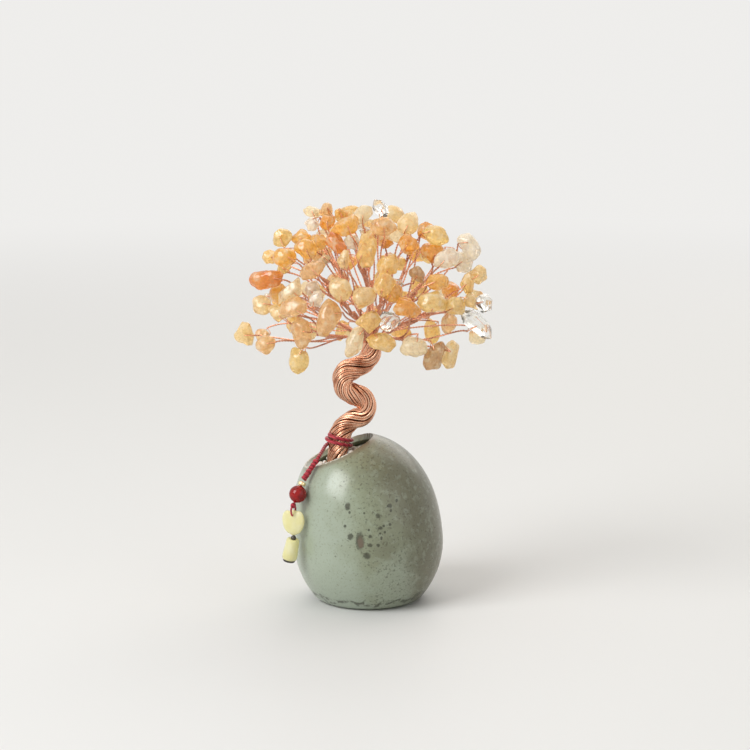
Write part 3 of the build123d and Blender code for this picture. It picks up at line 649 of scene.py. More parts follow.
@dataclass(frozen=True)
class StoneBeadFinish:
    """A polished bead or charm, with clouds of a second colour and some light let through."""

    name: str
    body: tuple
    cloud: tuple
    cloud_size: float
    through: float
    roughness: float
    relief: float = 0.05 * MM

    def material(self) -> bpy.types.Material:
        """Polished stone.

        Returns:
            The material.
        """
        palette = Palette(self.name)
        clouds = palette.noise(self.cloud_size, 4.0, 0.6)
        palette.shade(
            Base_Color=palette.mix(palette.step(clouds, 0.35, 0.7), self.body, self.cloud),
            Roughness=palette.step(clouds, 0.3, 0.8, self.roughness, self.roughness * 2),
            Specular_IOR_Level=0.35,
        )
        if self.through:
            palette.let_through(self.through, self.cloud)
        palette.bump(clouds, self.relief, 0.2)
        return palette.material


AGATE = StoneBeadFinish("red_agate", rgb(0.36, 0.008, 0.007), rgb(0.18, 0.003, 0.004), 3.0 * MM, 0.0, 0.05)
JADE = StoneBeadFinish("pale_jade", rgb(0.90, 0.85, 0.45), rgb(0.95, 0.92, 0.62), 3.0 * MM, 0.3, 0.14)
# Near-black for the link ball and the lower charm's end band: painted shade for the shadowed gap under the
# petal and the dark bore at the tube's end.
SHADOW_DARK_STONE = StoneBeadFinish("dark_bead", rgb(0.05, 0.045, 0.04), rgb(0.12, 0.10, 0.08), 1.0 * MM, 0.0, 0.2)


@dataclass(frozen=True)
class GiltFinish:
    """Polished gold-coloured metal."""

    bright: tuple = rgb(0.95, 0.78, 0.45)
    worn: tuple = rgb(0.70, 0.50, 0.25)
    wear_size: float = 0.8 * MM

    def material(self) -> bpy.types.Material:
        """Metal with faint wear.

        Returns:
            The material.
        """
        palette = Palette("gilt")
        wear = palette.noise(self.wear_size, 3.0)
        palette.shade(
            Base_Color=palette.mix(palette.step(wear, 0.4, 0.8), self.bright, self.worn),
            Metallic=1.0,
            Roughness=palette.step(wear, 0.3, 0.8, 0.15, 0.35),
        )
        return palette.material


@dataclass(frozen=True)
class EarthFinish:
    """Rough plaster or gravel in two mixed colours."""

    name: str
    light: tuple
    dark: tuple
    grain: float
    relief: float = 0.25 * MM

    def material(self) -> bpy.types.Material:
        """Matt and grainy.

        Returns:
            The material.
        """
        palette = Palette(self.name)
        grain = palette.noise(self.grain, 5.0, 0.65)
        palette.shade(
            Base_Color=palette.mix(palette.step(grain, 0.3, 0.7), self.dark, self.light),
            Roughness=palette.step(grain, 0.3, 0.7, 0.65, 0.9),
        )
        palette.bump(grain, self.relief, 0.7)
        return palette.material


GRAVEL = EarthFinish("white_gravel", rgb(0.86, 0.84, 0.78), rgb(0.62, 0.58, 0.50), 0.8 * MM)
PLASTER = EarthFinish("plaster", rgb(0.40, 0.37, 0.28), rgb(0.22, 0.20, 0.14), 1.5 * MM)


@dataclass
class Route:
    """A line of straight runs with rounded corners, and frames along it that don't twist."""

    corners: tuple
    bends: tuple
    step: float

    def points(self) -> list[Vector]:
        """Points along the line, evenly spaced on its arcs and runs.

        Returns:
            The points.
        """
        corners = [mm(*corner) for corner in self.corners]
        line = [corners[0]]
        for before, corner, after, bend in zip(corners, corners[1:], corners[2:], self.bends):
            back, on = (before - corner).normalized(), (after - corner).normalized()
            half = back.angle(on) / 2
            radius = bend * MM
            middle = corner + (back + on).normalized() * (radius / sin(half))
            first = corner + back * (radius / tan(half)) - middle
            last = corner + on * (radius / tan(half)) - middle
            count = max(3, round(first.angle(last) * radius / self.step))
            sweep = first.normalized(), last.normalized()
            line += [middle + sweep[0].slerp(sweep[1], k / count) * radius for k in range(count + 1)]
        line.append(corners[-1])
        spread = [line[0]]
        for start, end in zip(line, line[1:]):
            count = max(1, round((end - start).length / self.step))
            spread += [start.lerp(end, (k + 1) / count) for k in range(count)]
        return spread

    def frames(self) -> list[tuple[float, Vector, Vector, Vector]]:
        """Share of the length, place and two directions across the line, at each point.

        Returns:
            The frames, in order.
        """
        line = self.points()
        lengths = [(end - start).length for start, end in zip(line, line[1:])]
        side, run, frames = Vector((1.0, 0.0, 0.0)), 0.0, []
        for k, place in enumerate(line):
            along = (line[min(k + 1, len(line) - 1)] - line[max(k - 1, 0)]).normalized()
            side = (side - along * side.dot(along)).normalized()
            frames.append((run / sum(lengths), place, side.copy(), along.cross(side)))
            run += lengths[k] if k < len(lengths) else 0.0
        return frames


@dataclass
class Trunk:
    """The trunk: a lay of thin wires round a core, along a route that snakes to the crown's heart."""

    route: Route = field(default_factory=lambda: Route(TRUNK_CORNERS, (8, 8, 4, 4, 4.5), 0.55 * MM))
    wire: float = 0.36 * MM
    fine_wire: float = 0.26 * MM
    ring: float = 3.1 * MM
    count: int = 26
    inner_wire: float = 0.5 * MM
    inner_ring: float = 2.2 * MM
    inner_count: int = 14
    twist: float = radians(900)
    ripple: float = 0.08
    stray: float = 0.04
    flatness: float = 0.07
    waves: tuple = (9, 14, 41)
    seed: int = 11

    def lay(self, ring: float, count: int, draw: Random) -> list[list[Vector]]:
        """The lines of a layer of wires.

        Args:
            ring: How far the wires lie from the trunk's middle.
            count: How many wires.
            draw: Random ripples.

        Returns:
            The points of each wire.
        """
        frames = self.route.frames()
        drift, swell, flutter = self.waves
        routes = []
        for k in range(count):
            start = 2 * pi * k / count
            phase, lift = draw.uniform(0, 2 * pi), draw.uniform(-1, 1) * self.ripple
            line = []
            for share, place, side, up in frames:
                turn = start + self.twist * share + self.ripple * sin(drift * share + phase)
                wave = lift * sin(swell * share + phase) + self.stray * sin(flutter * share + 2 * phase)
                reach = ring * (1 + wave + self.flatness * cos(2 * start))
                line.append(place + (side * cos(turn) + up * sin(turn)) * reach)
            routes.append(line)
        return routes

    def build(self, copper: bpy.types.Material) -> None:
        """Lay the outer wires, every other one in a paler copper as a painted highlight, over inner wires and
        the core in a dark copper that is painted shade between the wires.

        Args:
            copper: The outer wires' finish.
        """
        draw = Random(self.seed)
        # Paler copper on the fine wires is a painted highlight; dark copper on the inner wires and the core is
        # painted shade between the wires.
        shaded_copper, pale = PAINTED_SHADE_COPPER.material(), HIGHLIGHT_COPPER.material()
        lines = self.lay(self.ring, self.count, draw)
        outer = wires("trunk_wires", lines[::2], self.wire, 1)
        outer.data.materials.append(copper)
        # The fine wires take the paler copper, a painted highlight.
        fine = wires("trunk_fine", lines[1::2], self.fine_wire, 1)
        fine.data.materials.append(pale)
        inner = wires("trunk_inner", self.lay(self.inner_ring, self.inner_count, draw), self.inner_wire, 1)
        inner.data.materials.append(shaded_copper)
        dress(joined([outer, fine, inner], "trunk_wires"), None, TREE, "copper_wire", "trunk_strands")
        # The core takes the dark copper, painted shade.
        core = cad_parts["trunk_core"]
        core.data.materials.clear()
        core.data.materials.append(shaded_copper)


@dataclass
class Gem:
    """A stone of the crown, read from its solid."""

    piece: bpy.types.Object
    centre: Vector
    normal: Vector
    half_thickness: float
    tint: Tint = Tint.PALE

    @property
    def crystal(self) -> bool:
        """Whether the stone is rock crystal."""
        return self.tint is Tint.QUARTZ


@dataclass
class Twig:
    """A stone's wire, read from its solid: where it starts, its neck and the loop's two turns."""

    start: Vector
    neck: Vector
    front: Vector
    back: Vector


@dataclass
class Branch:
    """A branch of the crown with its twigs and stones."""

    name: str
    rises: tuple = ((0.6 * MM, 7.0 * MM), (2.0 * MM, 4.2 * MM), (4.0 * MM, 1.6 * MM))
    share: float = 0.56
    strand: float = 0.21 * MM
    strands: int = 4
    lay: float = 0.30 * MM
    lay_pitch: float = 5.0 * MM
    pair: float = 0.16 * MM
    pair_pitch: float = 2.0 * MM
    step: float = 0.26 * MM
    sway: float = 0.2
    stem_sway: float = 0.1
    run_in: float = 4.5 * MM
    growth: float = 1.16
    flats: int = 4
    flat_depth: tuple = (0.6, 0.88)
    crease: tuple = (0.15, 0.55)
    dent: tuple = (0.9 * MM, 1.9 * MM)
    crystal_edge: float = 0.35 * MM
    leads: tuple = (0.25, 0.7)
    stem_lead: float = 0.6
    loop_steps: int = 5
    merge: float = 0.002 * MM
    opposite: float = 0.999
    end_reach: float = 1.1 * MM
    stone_reach: float = 7.0 * MM
    turn_reach: float = 0.7 * MM
    turn_clear: float = 0.9 * MM
    neck_reach: float = 1.0 * MM
    heart_level: float = 0.02 * MM
    heart_radius: float = 3.8 * MM

    def parts(self, kind: str) -> list[bpy.types.Object]:
        """Copies of a node's solids, each with its corners merged.

        Args:
            kind: The end of the node's name.

        Returns:
            The copies.
        """
        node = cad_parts[f"{self.name}_{kind}"]
        copy = bpy.data.objects.new(f"{self.name}_{kind}_copy", node.data.copy())
        bpy.context.collection.objects.link(copy)
        select_only(copy)
        bpy.ops.object.mode_set(mode="EDIT")
        bpy.ops.mesh.select_all(action="SELECT")
        bpy.ops.mesh.remove_doubles(threshold=self.merge)
        bpy.ops.mesh.separate(type="LOOSE")
        bpy.ops.object.mode_set(mode="OBJECT")
        return list(bpy.context.selected_objects)

    def read_gem(self, piece: bpy.types.Object) -> Gem:
        """Find a stone's middle and its flat sides, the widest pair of faces that look opposite ways.

        Args:
            piece: A copy of the stone's solid.

        Returns:
            The stone.
        """
        sides: list[tuple[Vector, float, float]] = []
        for face in piece.data.polygons:
            for k, (normal, area, level) in enumerate(sides):
                if normal.dot(face.normal) > self.opposite:
                    sides[k] = (normal, area + face.area, level)
                    break
            else:
                sides.append((face.normal.copy(), face.area, face.center.dot(face.normal)))
        pairs = ((a, b) for k, a in enumerate(sides) for b in sides[k + 1:] if a[0].dot(b[0]) < -self.opposite)
        best = max(pairs, key=lambda pair: pair[0][1] + pair[1][1])
        corners = [vertex.co for vertex in piece.data.vertices]
        centre = sum(corners, Vector()) / len(corners)
        return Gem(piece, centre, best[0][0], (best[0][2] + best[1][2]) / 2)

    def read_twig(self, corners: list[Vector], gem: Gem) -> Twig:
        """Find a twig's start, neck and loop among its solid's corners.

        Args:
            corners: The corners.
            gem: The stone that it holds.

        Returns:
            The twig.
        """
        def near(place: Vector, reach: float, among: list[Vector]) -> Vector:
            close = [corner for corner in among if (corner - place).length < reach]
            return sum(close, Vector()) / len(close)

        def level(corner: Vector) -> float:
            return (corner - gem.centre).dot(gem.normal)

        far = max(corners, key=lambda corner: (corner - gem.centre).length)
        start = near(far, self.end_reach, corners)
        reach = gem.half_thickness + self.stone_reach
        around = [corner for corner in corners if (corner - gem.centre).length < reach]
        front = near(max(around, key=level), self.turn_reach, around)
        back = near(min(around, key=level), self.turn_reach, around)
        hole = (front + back) / 2
        rest = [c for c in corners if min((c - front).length, (c - back).length) > self.turn_clear]
        neck = near(min(rest, key=lambda corner: (corner - hole).length), self.neck_reach, rest)
        return Twig(start, neck, front, back)

    def at_heart(self, corner: Vector) -> bool:
        """Whether a corner of a wire lies where the branches start."""
        off = hypot(corner.x - HEART.x, corner.y - HEART.y)
        return abs(corner.z - HEART.z) < self.heart_level and off < self.heart_radius

    def read(self) -> tuple[list[Gem], list[Twig], list[Vector]]:
        """Read the branch from its nodes.

        Returns:
            Its stones, their twigs in the same order, and the corners of its own line.
        """
        gems = [self.read_gem(piece) for piece in self.parts("stones")]
        copies = self.parts("wires")
        lines = [[vertex.co.copy() for vertex in copy.data.vertices] for copy in copies]
        for copy in copies:
            bpy.data.meshes.remove(copy.data)
        foot = [corner for line in lines for corner in line if self.at_heart(corner)]
        start = sum(foot, Vector()) / len(foot)
        off = hypot(start.x - HEART.x, start.y - HEART.y)
        rise = start + UP * next(rise for reach, rise in self.rises if off < reach)
        middle = sum((gem.centre for gem in gems), Vector()) / len(gems)
        tip = rise + (middle - rise) * self.share
        pairs = sorted(
            ((min((corner - gem.centre).length for corner in line), g, w)
             for g, gem in enumerate(gems) for w, line in enumerate(lines)),
        )
        held: dict[int, int] = {}
        for _, g, w in pairs:
            if g not in held and w not in held.values():
                held[g] = w
        twigs = []
        for g, gem in enumerate(gems):
            twig = self.read_twig(lines[held[g]], gem)
            if any(self.at_heart(corner) for corner in lines[held[g]]):
                twig.start = tip
            twigs.append(twig)
        return gems, twigs, [start, rise, tip]

    def twisted(
        self, line: list[Vector], count: int, reach: float, pitch: float, turn: float
    ) -> list[list[Vector]]:
        """Wires twisted together along a line.

        Args:
            line: Points along the middle.
            count: How many wires.
            reach: How far each wire's middle lies from the line.
            pitch: Length of a full turn.
            turn: Where the first wire starts.

        Returns:
            The points of each wire.
        """
        routes: list[list[Vector]] = [[] for _ in range(count)]
        side, run = UP.cross(line[1] - line[0]).normalized(), 0.0
        for k, place in enumerate(line):
            ahead = line[min(k + 1, len(line) - 1)] - line[max(k - 1, 0)]
            along = ahead.normalized()
            side = (side - along * side.dot(along)).normalized()
            up = along.cross(side)
            for w in range(count):
                angle = turn + 2 * pi * (w / count + run / pitch)
                routes[w].append(place + (side * cos(angle) + up * sin(angle)) * reach)
            run += (line[min(k + 1, len(line) - 1)] - place).length
        return routes

    def bowed(self, corners: list[Vector]) -> list[Vector]:
        """Points along a wire that bows from its first corner to its last, drawn towards those between.

        Args:
            corners: The corners.

        Returns:
            The points.
        """
        count = max(6, round((corners[-1] - corners[0]).length / self.step))
        line = []
        for k in range(count + 1):
            rest = corners
            while len(rest) > 1:
                rest = [near.lerp(far, k / count) for near, far in zip(rest, rest[1:])]
            line.append(rest[0])
        return line

    def loop(self, twig: Twig, first: Vector, last: Vector) -> list[Vector]:
        """The bight from one wire of the pair through the stone to the other.

        Args:
            twig: The twig.
            first: Where the first wire ends.
            last: Where the second wire ends.

        Returns:
            Points along the bight.
        """
        corners = [first, twig.front, twig.front.lerp(twig.back, 0.5), twig.back, last]
        line = []
        for before, corner, after in zip(corners, corners[1:], corners[2:]):
            here, there = before.lerp(corner, 0.5), corner.lerp(after, 0.5)
            for k in range(self.loop_steps):
                share = k / self.loop_steps
                line.append(here * (1 - share) ** 2 + corner * (2 * share * (1 - share)) + there * share**2)
        return line

    def build_twigs(
        self, twigs: list[Twig], line: list[Vector], copper: bpy.types.Material, draw: Random
    ) -> None:
        """Twist the branch and its twigs from wire.

        Args:
            twigs: The twigs.
            line: The corners of the branch's own line.
            copper: The wires' finish.
            draw: Random turns.
        """
        def bend(share: float, length: float) -> Vector:
            return Vector([draw.uniform(-1, 1) for _ in range(3)]) * (share * length)

        start, rise, tip = line
        lead = rise.lerp(tip, self.stem_lead) + bend(self.stem_sway, (tip - rise).length)
        stem = self.bowed([start, rise, lead, tip])
        bundle = self.twisted(stem, self.strands, self.lay, self.lay_pitch, draw.uniform(0, pi))
        routes = []
        for twig in twigs:
            fork = min(range(len(stem)), key=lambda k: (stem[k] - twig.start).length)
            root = stem[max(0, fork - round(self.run_in / self.step))]
            reach = (twig.neck - stem[fork]).length
            leads = [stem[fork].lerp(twig.neck, share) + bend(self.sway, reach) for share in self.leads]
            middle = self.bowed([root, *leads, twig.neck])
            out, back = self.twisted(middle, 2, self.pair, self.pair_pitch, draw.uniform(0, 2 * pi))
            routes.append(out + self.loop(twig, out[-1], back[-1]) + back[::-1])
        pieces = [
            wires(f"{self.name}_bundle", bundle, self.strand, 1),
            wires(f"{self.name}_pairs", routes, self.pair, 1),
        ]
        piece = joined(pieces, f"{self.name}_twigs")
        dress(piece, copper, TREE, "copper_wire", f"{self.name}_wires")

    def chip(self, gem: Gem, draw: Random) -> None:
        """Knock flats off the outline of a stone that is open in edit mode.

        Args:
            gem: The stone.
            draw: Random flats.
        """
        corners = [vertex.co - gem.centre for vertex in gem.piece.data.vertices]
        for _ in range(self.flats):
            way = Vector([draw.uniform(-1, 1) for _ in range(3)])
            way = (way - gem.normal * (0.8 * way.dot(gem.normal))).normalized()
            level = max(corner.dot(way) for corner in corners) * draw.uniform(*self.flat_depth)
            place = gem.centre + way * level
            bpy.ops.mesh.select_all(action="SELECT")
            bpy.ops.mesh.bisect(plane_co=place, plane_no=way, use_fill=True, clear_outer=True)

    def tumble(self, gem: Gem, draw: Random) -> None:
        """Close a stone's hull, knock flats off it, round or bevel it, dent it and bring it to size.

        Args:
            gem: The stone.
            draw: Random shapes.
        """
        piece = gem.piece
        before = piece.dimensions.length
        select_only(piece)
        bpy.ops.object.mode_set(mode="EDIT")
        bpy.ops.mesh.select_all(action="SELECT")
        bpy.ops.mesh.convex_hull()
        self.chip(gem, draw)
        bpy.ops.mesh.select_all(action="SELECT")
        bpy.ops.mesh.dissolve_limited(angle_limit=radians(4))
        bpy.ops.mesh.select_all(action="SELECT")
        bpy.ops.transform.edge_crease(value=0.0 if gem.crystal else draw.uniform(*self.crease))
        bpy.ops.object.mode_set(mode="OBJECT")
        if gem.crystal:
            bevel = piece.modifiers.new("edges", "BEVEL")
            bevel.width = self.crystal_edge
            bevel.segments = 2
        else:
            rounding = piece.modifiers.new("tumbling", "SUBSURF")
            rounding.levels = rounding.render_levels = 3
            dents = piece.modifiers.new("dents", "DISPLACE")
            dents.texture = DENTS
            dents.texture_coords = "LOCAL"
            dents.strength = draw.uniform(*self.dent)
            dents.mid_level = 0.5
        apply_modifiers(piece)
        grow = self.growth * before / piece.dimensions.length
        bpy.ops.object.mode_set(mode="EDIT")
        bpy.ops.mesh.select_all(action="SELECT")
        bpy.ops.transform.resize(value=(grow, grow, grow), center_override=gem.centre)
        bpy.ops.object.mode_set(mode="OBJECT")
        if gem.crystal:
            smooth(piece, radians(25))
        else:
            bpy.ops.object.shade_smooth()

    def build_gems(self, gems: list[Gem], finishes: dict[bool, bpy.types.Material], draw: Random) -> None:
        """Tumble, tint and dress the stones.

        Args:
            gems: The stones.
            finishes: Materials by whether the stone is rock crystal.
            draw: Random shapes.
        """
        for gem in gems:
            self.tumble(gem, draw)
            mesh = gem.piece.data
            tint = mesh.attributes.new("tint", "FLOAT_COLOR", "POINT")
            tint.data.foreach_set("color", list(rgb(*gem.tint.value)) * len(mesh.vertices))
            mesh.materials.clear()
            mesh.materials.append(finishes[gem.crystal])
        piece = joined([gem.piece for gem in gems], f"{self.name}_gems")
        dress(piece, None, TREE, "citrine", f"{self.name}_stones")


def dent_texture() -> bpy.types.Texture:
    """Clouds that dent the tumbled stones.

    Returns:
        The texture.
    """
    texture = bpy.data.textures.new("dents", "CLOUDS")
    texture.noise_scale = 4.0 * MM
    texture.noise_depth = 2
    return texture


DENTS = dent_texture()


@dataclass
class Crown:
    """All the branches, with their stones tinted by where they stand."""

    nearest: float = 4.0 * MM
    seed: int = 5

    def names(self) -> list[str]:
        """The branches' names, from the nodes."""
        return sorted(name.removesuffix("_stones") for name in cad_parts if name.endswith("_stones"))

    def tint(self, gem: Gem, draw: Random) -> Tint:
        """A stone's tint, by its place as the viewer sees it, or drawn for a stone of the back.

        Args:
            gem: The stone.
            draw: Random tints.

        Returns:
            The tint.
        """
        offset = gem.centre - HEART
        across, up = offset.x / MM, offset.dot(SIGHT_UP) / MM
        choice = draw.choice(BACK_TINTS)
        best = min(FRONT_TINTS, key=lambda row: hypot(row[0] - across, row[1] - up))
        return best[2] if hypot(best[0] - across, best[1] - up) * MM < self.nearest else choice

    def build(self, copper: bpy.types.Material) -> None:
        """Build every branch.

        Args:
            copper: The wires' finish.
        """
        finishes = {False: CitrineFinish().material(), True: QuartzFinish().material()}
        draw, shapes = Random(self.seed), Random(self.seed + 1)
        for name in self.names():
            branch = Branch(name)
            gems, twigs, line = branch.read()
            for gem in gems:
                gem.tint = draw.choice(BACK_TINTS) if name.startswith("back") else self.tint(gem, draw)
            branch.build_twigs(twigs, line, copper, draw)
            branch.build_gems(gems, finishes, shapes)


@dataclass
class Pot:
    """The leaning egg of the pot, with its slanting mouth, plaster and gravel."""

    height: float = 56.4 * MM
    belly: float = 25.2 * MM
    belly_height: float = 20.5 * MM
    base: float = 17.5 * MM
    lean: float = 3.0 * MM
    wall: float = 2.2 * MM
    side_power: float = 2.2
    shoulder_power: float = 2.5
    fill_depth: float = 3.6 * MM
    trunk: float = TRUNK_CORNERS[0][0] * MM
    rim_round: float = 0.9 * MM
    foot_round: float = 2.0 * MM
    foot_turns: tuple = (0.3, 0.65, 1.0, 1.3)
    sides: int = 112
    rings: int = 44
    grains: int = 64
    grain_reach: tuple = (4.6 * MM, 8.2 * MM)
    grain_size: tuple = (0.8 * MM, 1.5 * MM)
    seed: int = 3

    def radius(self, height: float) -> float:
        """Radius of the egg at a height."""
        if height < self.belly_height:
            return self.belly - (self.belly - self.base) * (1 - height / self.belly_height) ** self.side_power
        rise = (height - self.belly_height) / (self.height - self.belly_height)
        return self.belly * sqrt(max(1 - rise**self.shoulder_power, 0.0004))

    def middle(self, height: float) -> float:
        """Sideways place of the egg's middle at a height."""
        return -self.lean * max(height - self.belly_height, 0.0) / (self.height - self.belly_height)

    def build_shell(self, glaze: bpy.types.Material) -> None:
        """Raise the egg ring by ring, cut its mouth and give it a wall.

        Args:
            glaze: The finish.
        """
        bpy.ops.object.select_all(action="DESELECT")
        foot = self.base - self.foot_round
        bpy.ops.mesh.primitive_circle_add(vertices=self.sides, radius=foot, fill_type="NGON")
        piece = bpy.context.object
        piece.name = "glazed_pot"
        bpy.ops.object.mode_set(mode="EDIT")
        bpy.ops.mesh.select_all(action="SELECT")
        radius, level, middle = foot, 0.0, 0.0
        curve = [(foot + self.foot_round * sin(a), self.foot_round * (1 - cos(a))) for a in self.foot_turns]
        rings = [(r + self.radius(z) - self.base, z) for r, z in curve]
        for k in range(1, self.rings + 1):
            z = self.foot_round + (self.height - self.foot_round) * sin(pi / 2 * k / self.rings)
            rings.append((self.radius(z), z))
        for next_radius, next_level in rings:
            shift = self.middle(next_level) - middle
            bpy.ops.mesh.extrude_region_move(TRANSFORM_OT_translate={"value": (shift, 0, next_level - level)})
            middle += shift
            share = next_radius / radius
            bpy.ops.transform.resize(value=(share, share, 1), center_override=(middle, 0, next_level))
            radius, level = next_radius, next_level
        bpy.ops.mesh.select_all(action="SELECT")
        bpy.ops.mesh.normals_make_consistent(inside=False)
        normal = Vector((-sin(MOUTH_TILT), 0.0, cos(MOUTH_TILT)))
        bpy.ops.mesh.bisect(plane_co=MOUTH, plane_no=normal, clear_outer=True, use_fill=False)
        bpy.ops.object.mode_set(mode="OBJECT")
        wall = piece.modifiers.new("wall", "SOLIDIFY")
        wall.thickness = self.wall
        wall.offset = -1
        wall.use_even_offset = True
        rim = piece.modifiers.new("rim", "BEVEL")
        rim.width = self.rim_round
        rim.segments = 4
        rim.limit_method = "ANGLE"
        rim.angle_limit = radians(50)
        apply_modifiers(piece)
        smooth(piece, radians(50))
        dress(piece, glaze, TREE, "celadon_glaze", "pot")

    def fill_level(self, across: float) -> float:
        """Height of the plaster's slanting top at a place across the pot."""
        return MOUTH.z + (across - MOUTH.x) * tan(MOUTH_TILT) - self.fill_depth / cos(MOUTH_TILT)

    def build_gravel(self, finish: bpy.types.Material) -> None:
        """Heap grains on the plaster round the trunk.

        Args:
            finish: The grains' finish.
        """
        draw = Random(self.seed)
        grains = []
        for k in range(self.grains):
            turn, reach = draw.uniform(0, 2 * pi), draw.uniform(*self.grain_reach)
            size = draw.uniform(*self.grain_size)
            across = self.trunk + reach * cos(turn)
            height = self.fill_level(across) + size * draw.uniform(0.4, 1.3)
            place = Vector((across, reach * sin(turn), height))
            bpy.ops.object.select_all(action="DESELECT")
            bpy.ops.mesh.primitive_ico_sphere_add(subdivisions=1, radius=size, location=place)
            grain = bpy.context.object
            grain.scale = (draw.uniform(0.7, 1.1), draw.uniform(0.7, 1.1), draw.uniform(0.6, 0.9))
            grain.rotation_euler = [draw.uniform(0, pi) for _ in range(3)]
            apply_place(grain)
            bpy.ops.object.mode_set(mode="EDIT")
            bpy.ops.mesh.select_all(action="SELECT")
            bpy.ops.transform.vertex_random(offset=0.25 * size, seed=k)
            bpy.ops.object.mode_set(mode="OBJECT")
            edges = grain.modifiers.new("edges", "BEVEL")
            edges.width = 0.16 * size
            edges.segments = 1
            apply_modifiers(grain)
            grains.append(grain)
        piece = joined(grains, "gravel_heap")
        dress(piece, finish, TREE, "white_gravel", "gravel")

    def build(self) -> None:
        """Build the pot and what it holds."""
        self.build_shell(GlazeFinish().material())
        self.build_gravel(GRAVEL.material())
        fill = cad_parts["plaster_fill"]
        fill.data.materials.clear()
        fill.data.materials.append(PLASTER.material())


class Lobe(NamedTuple):
    """A lobe of the upper charm: half sizes and place by the stop knot in millimetres, and its lean."""

    half_width: float
    half_thickness: float
    half_height: float
    left: float
    up: float
    lean: float


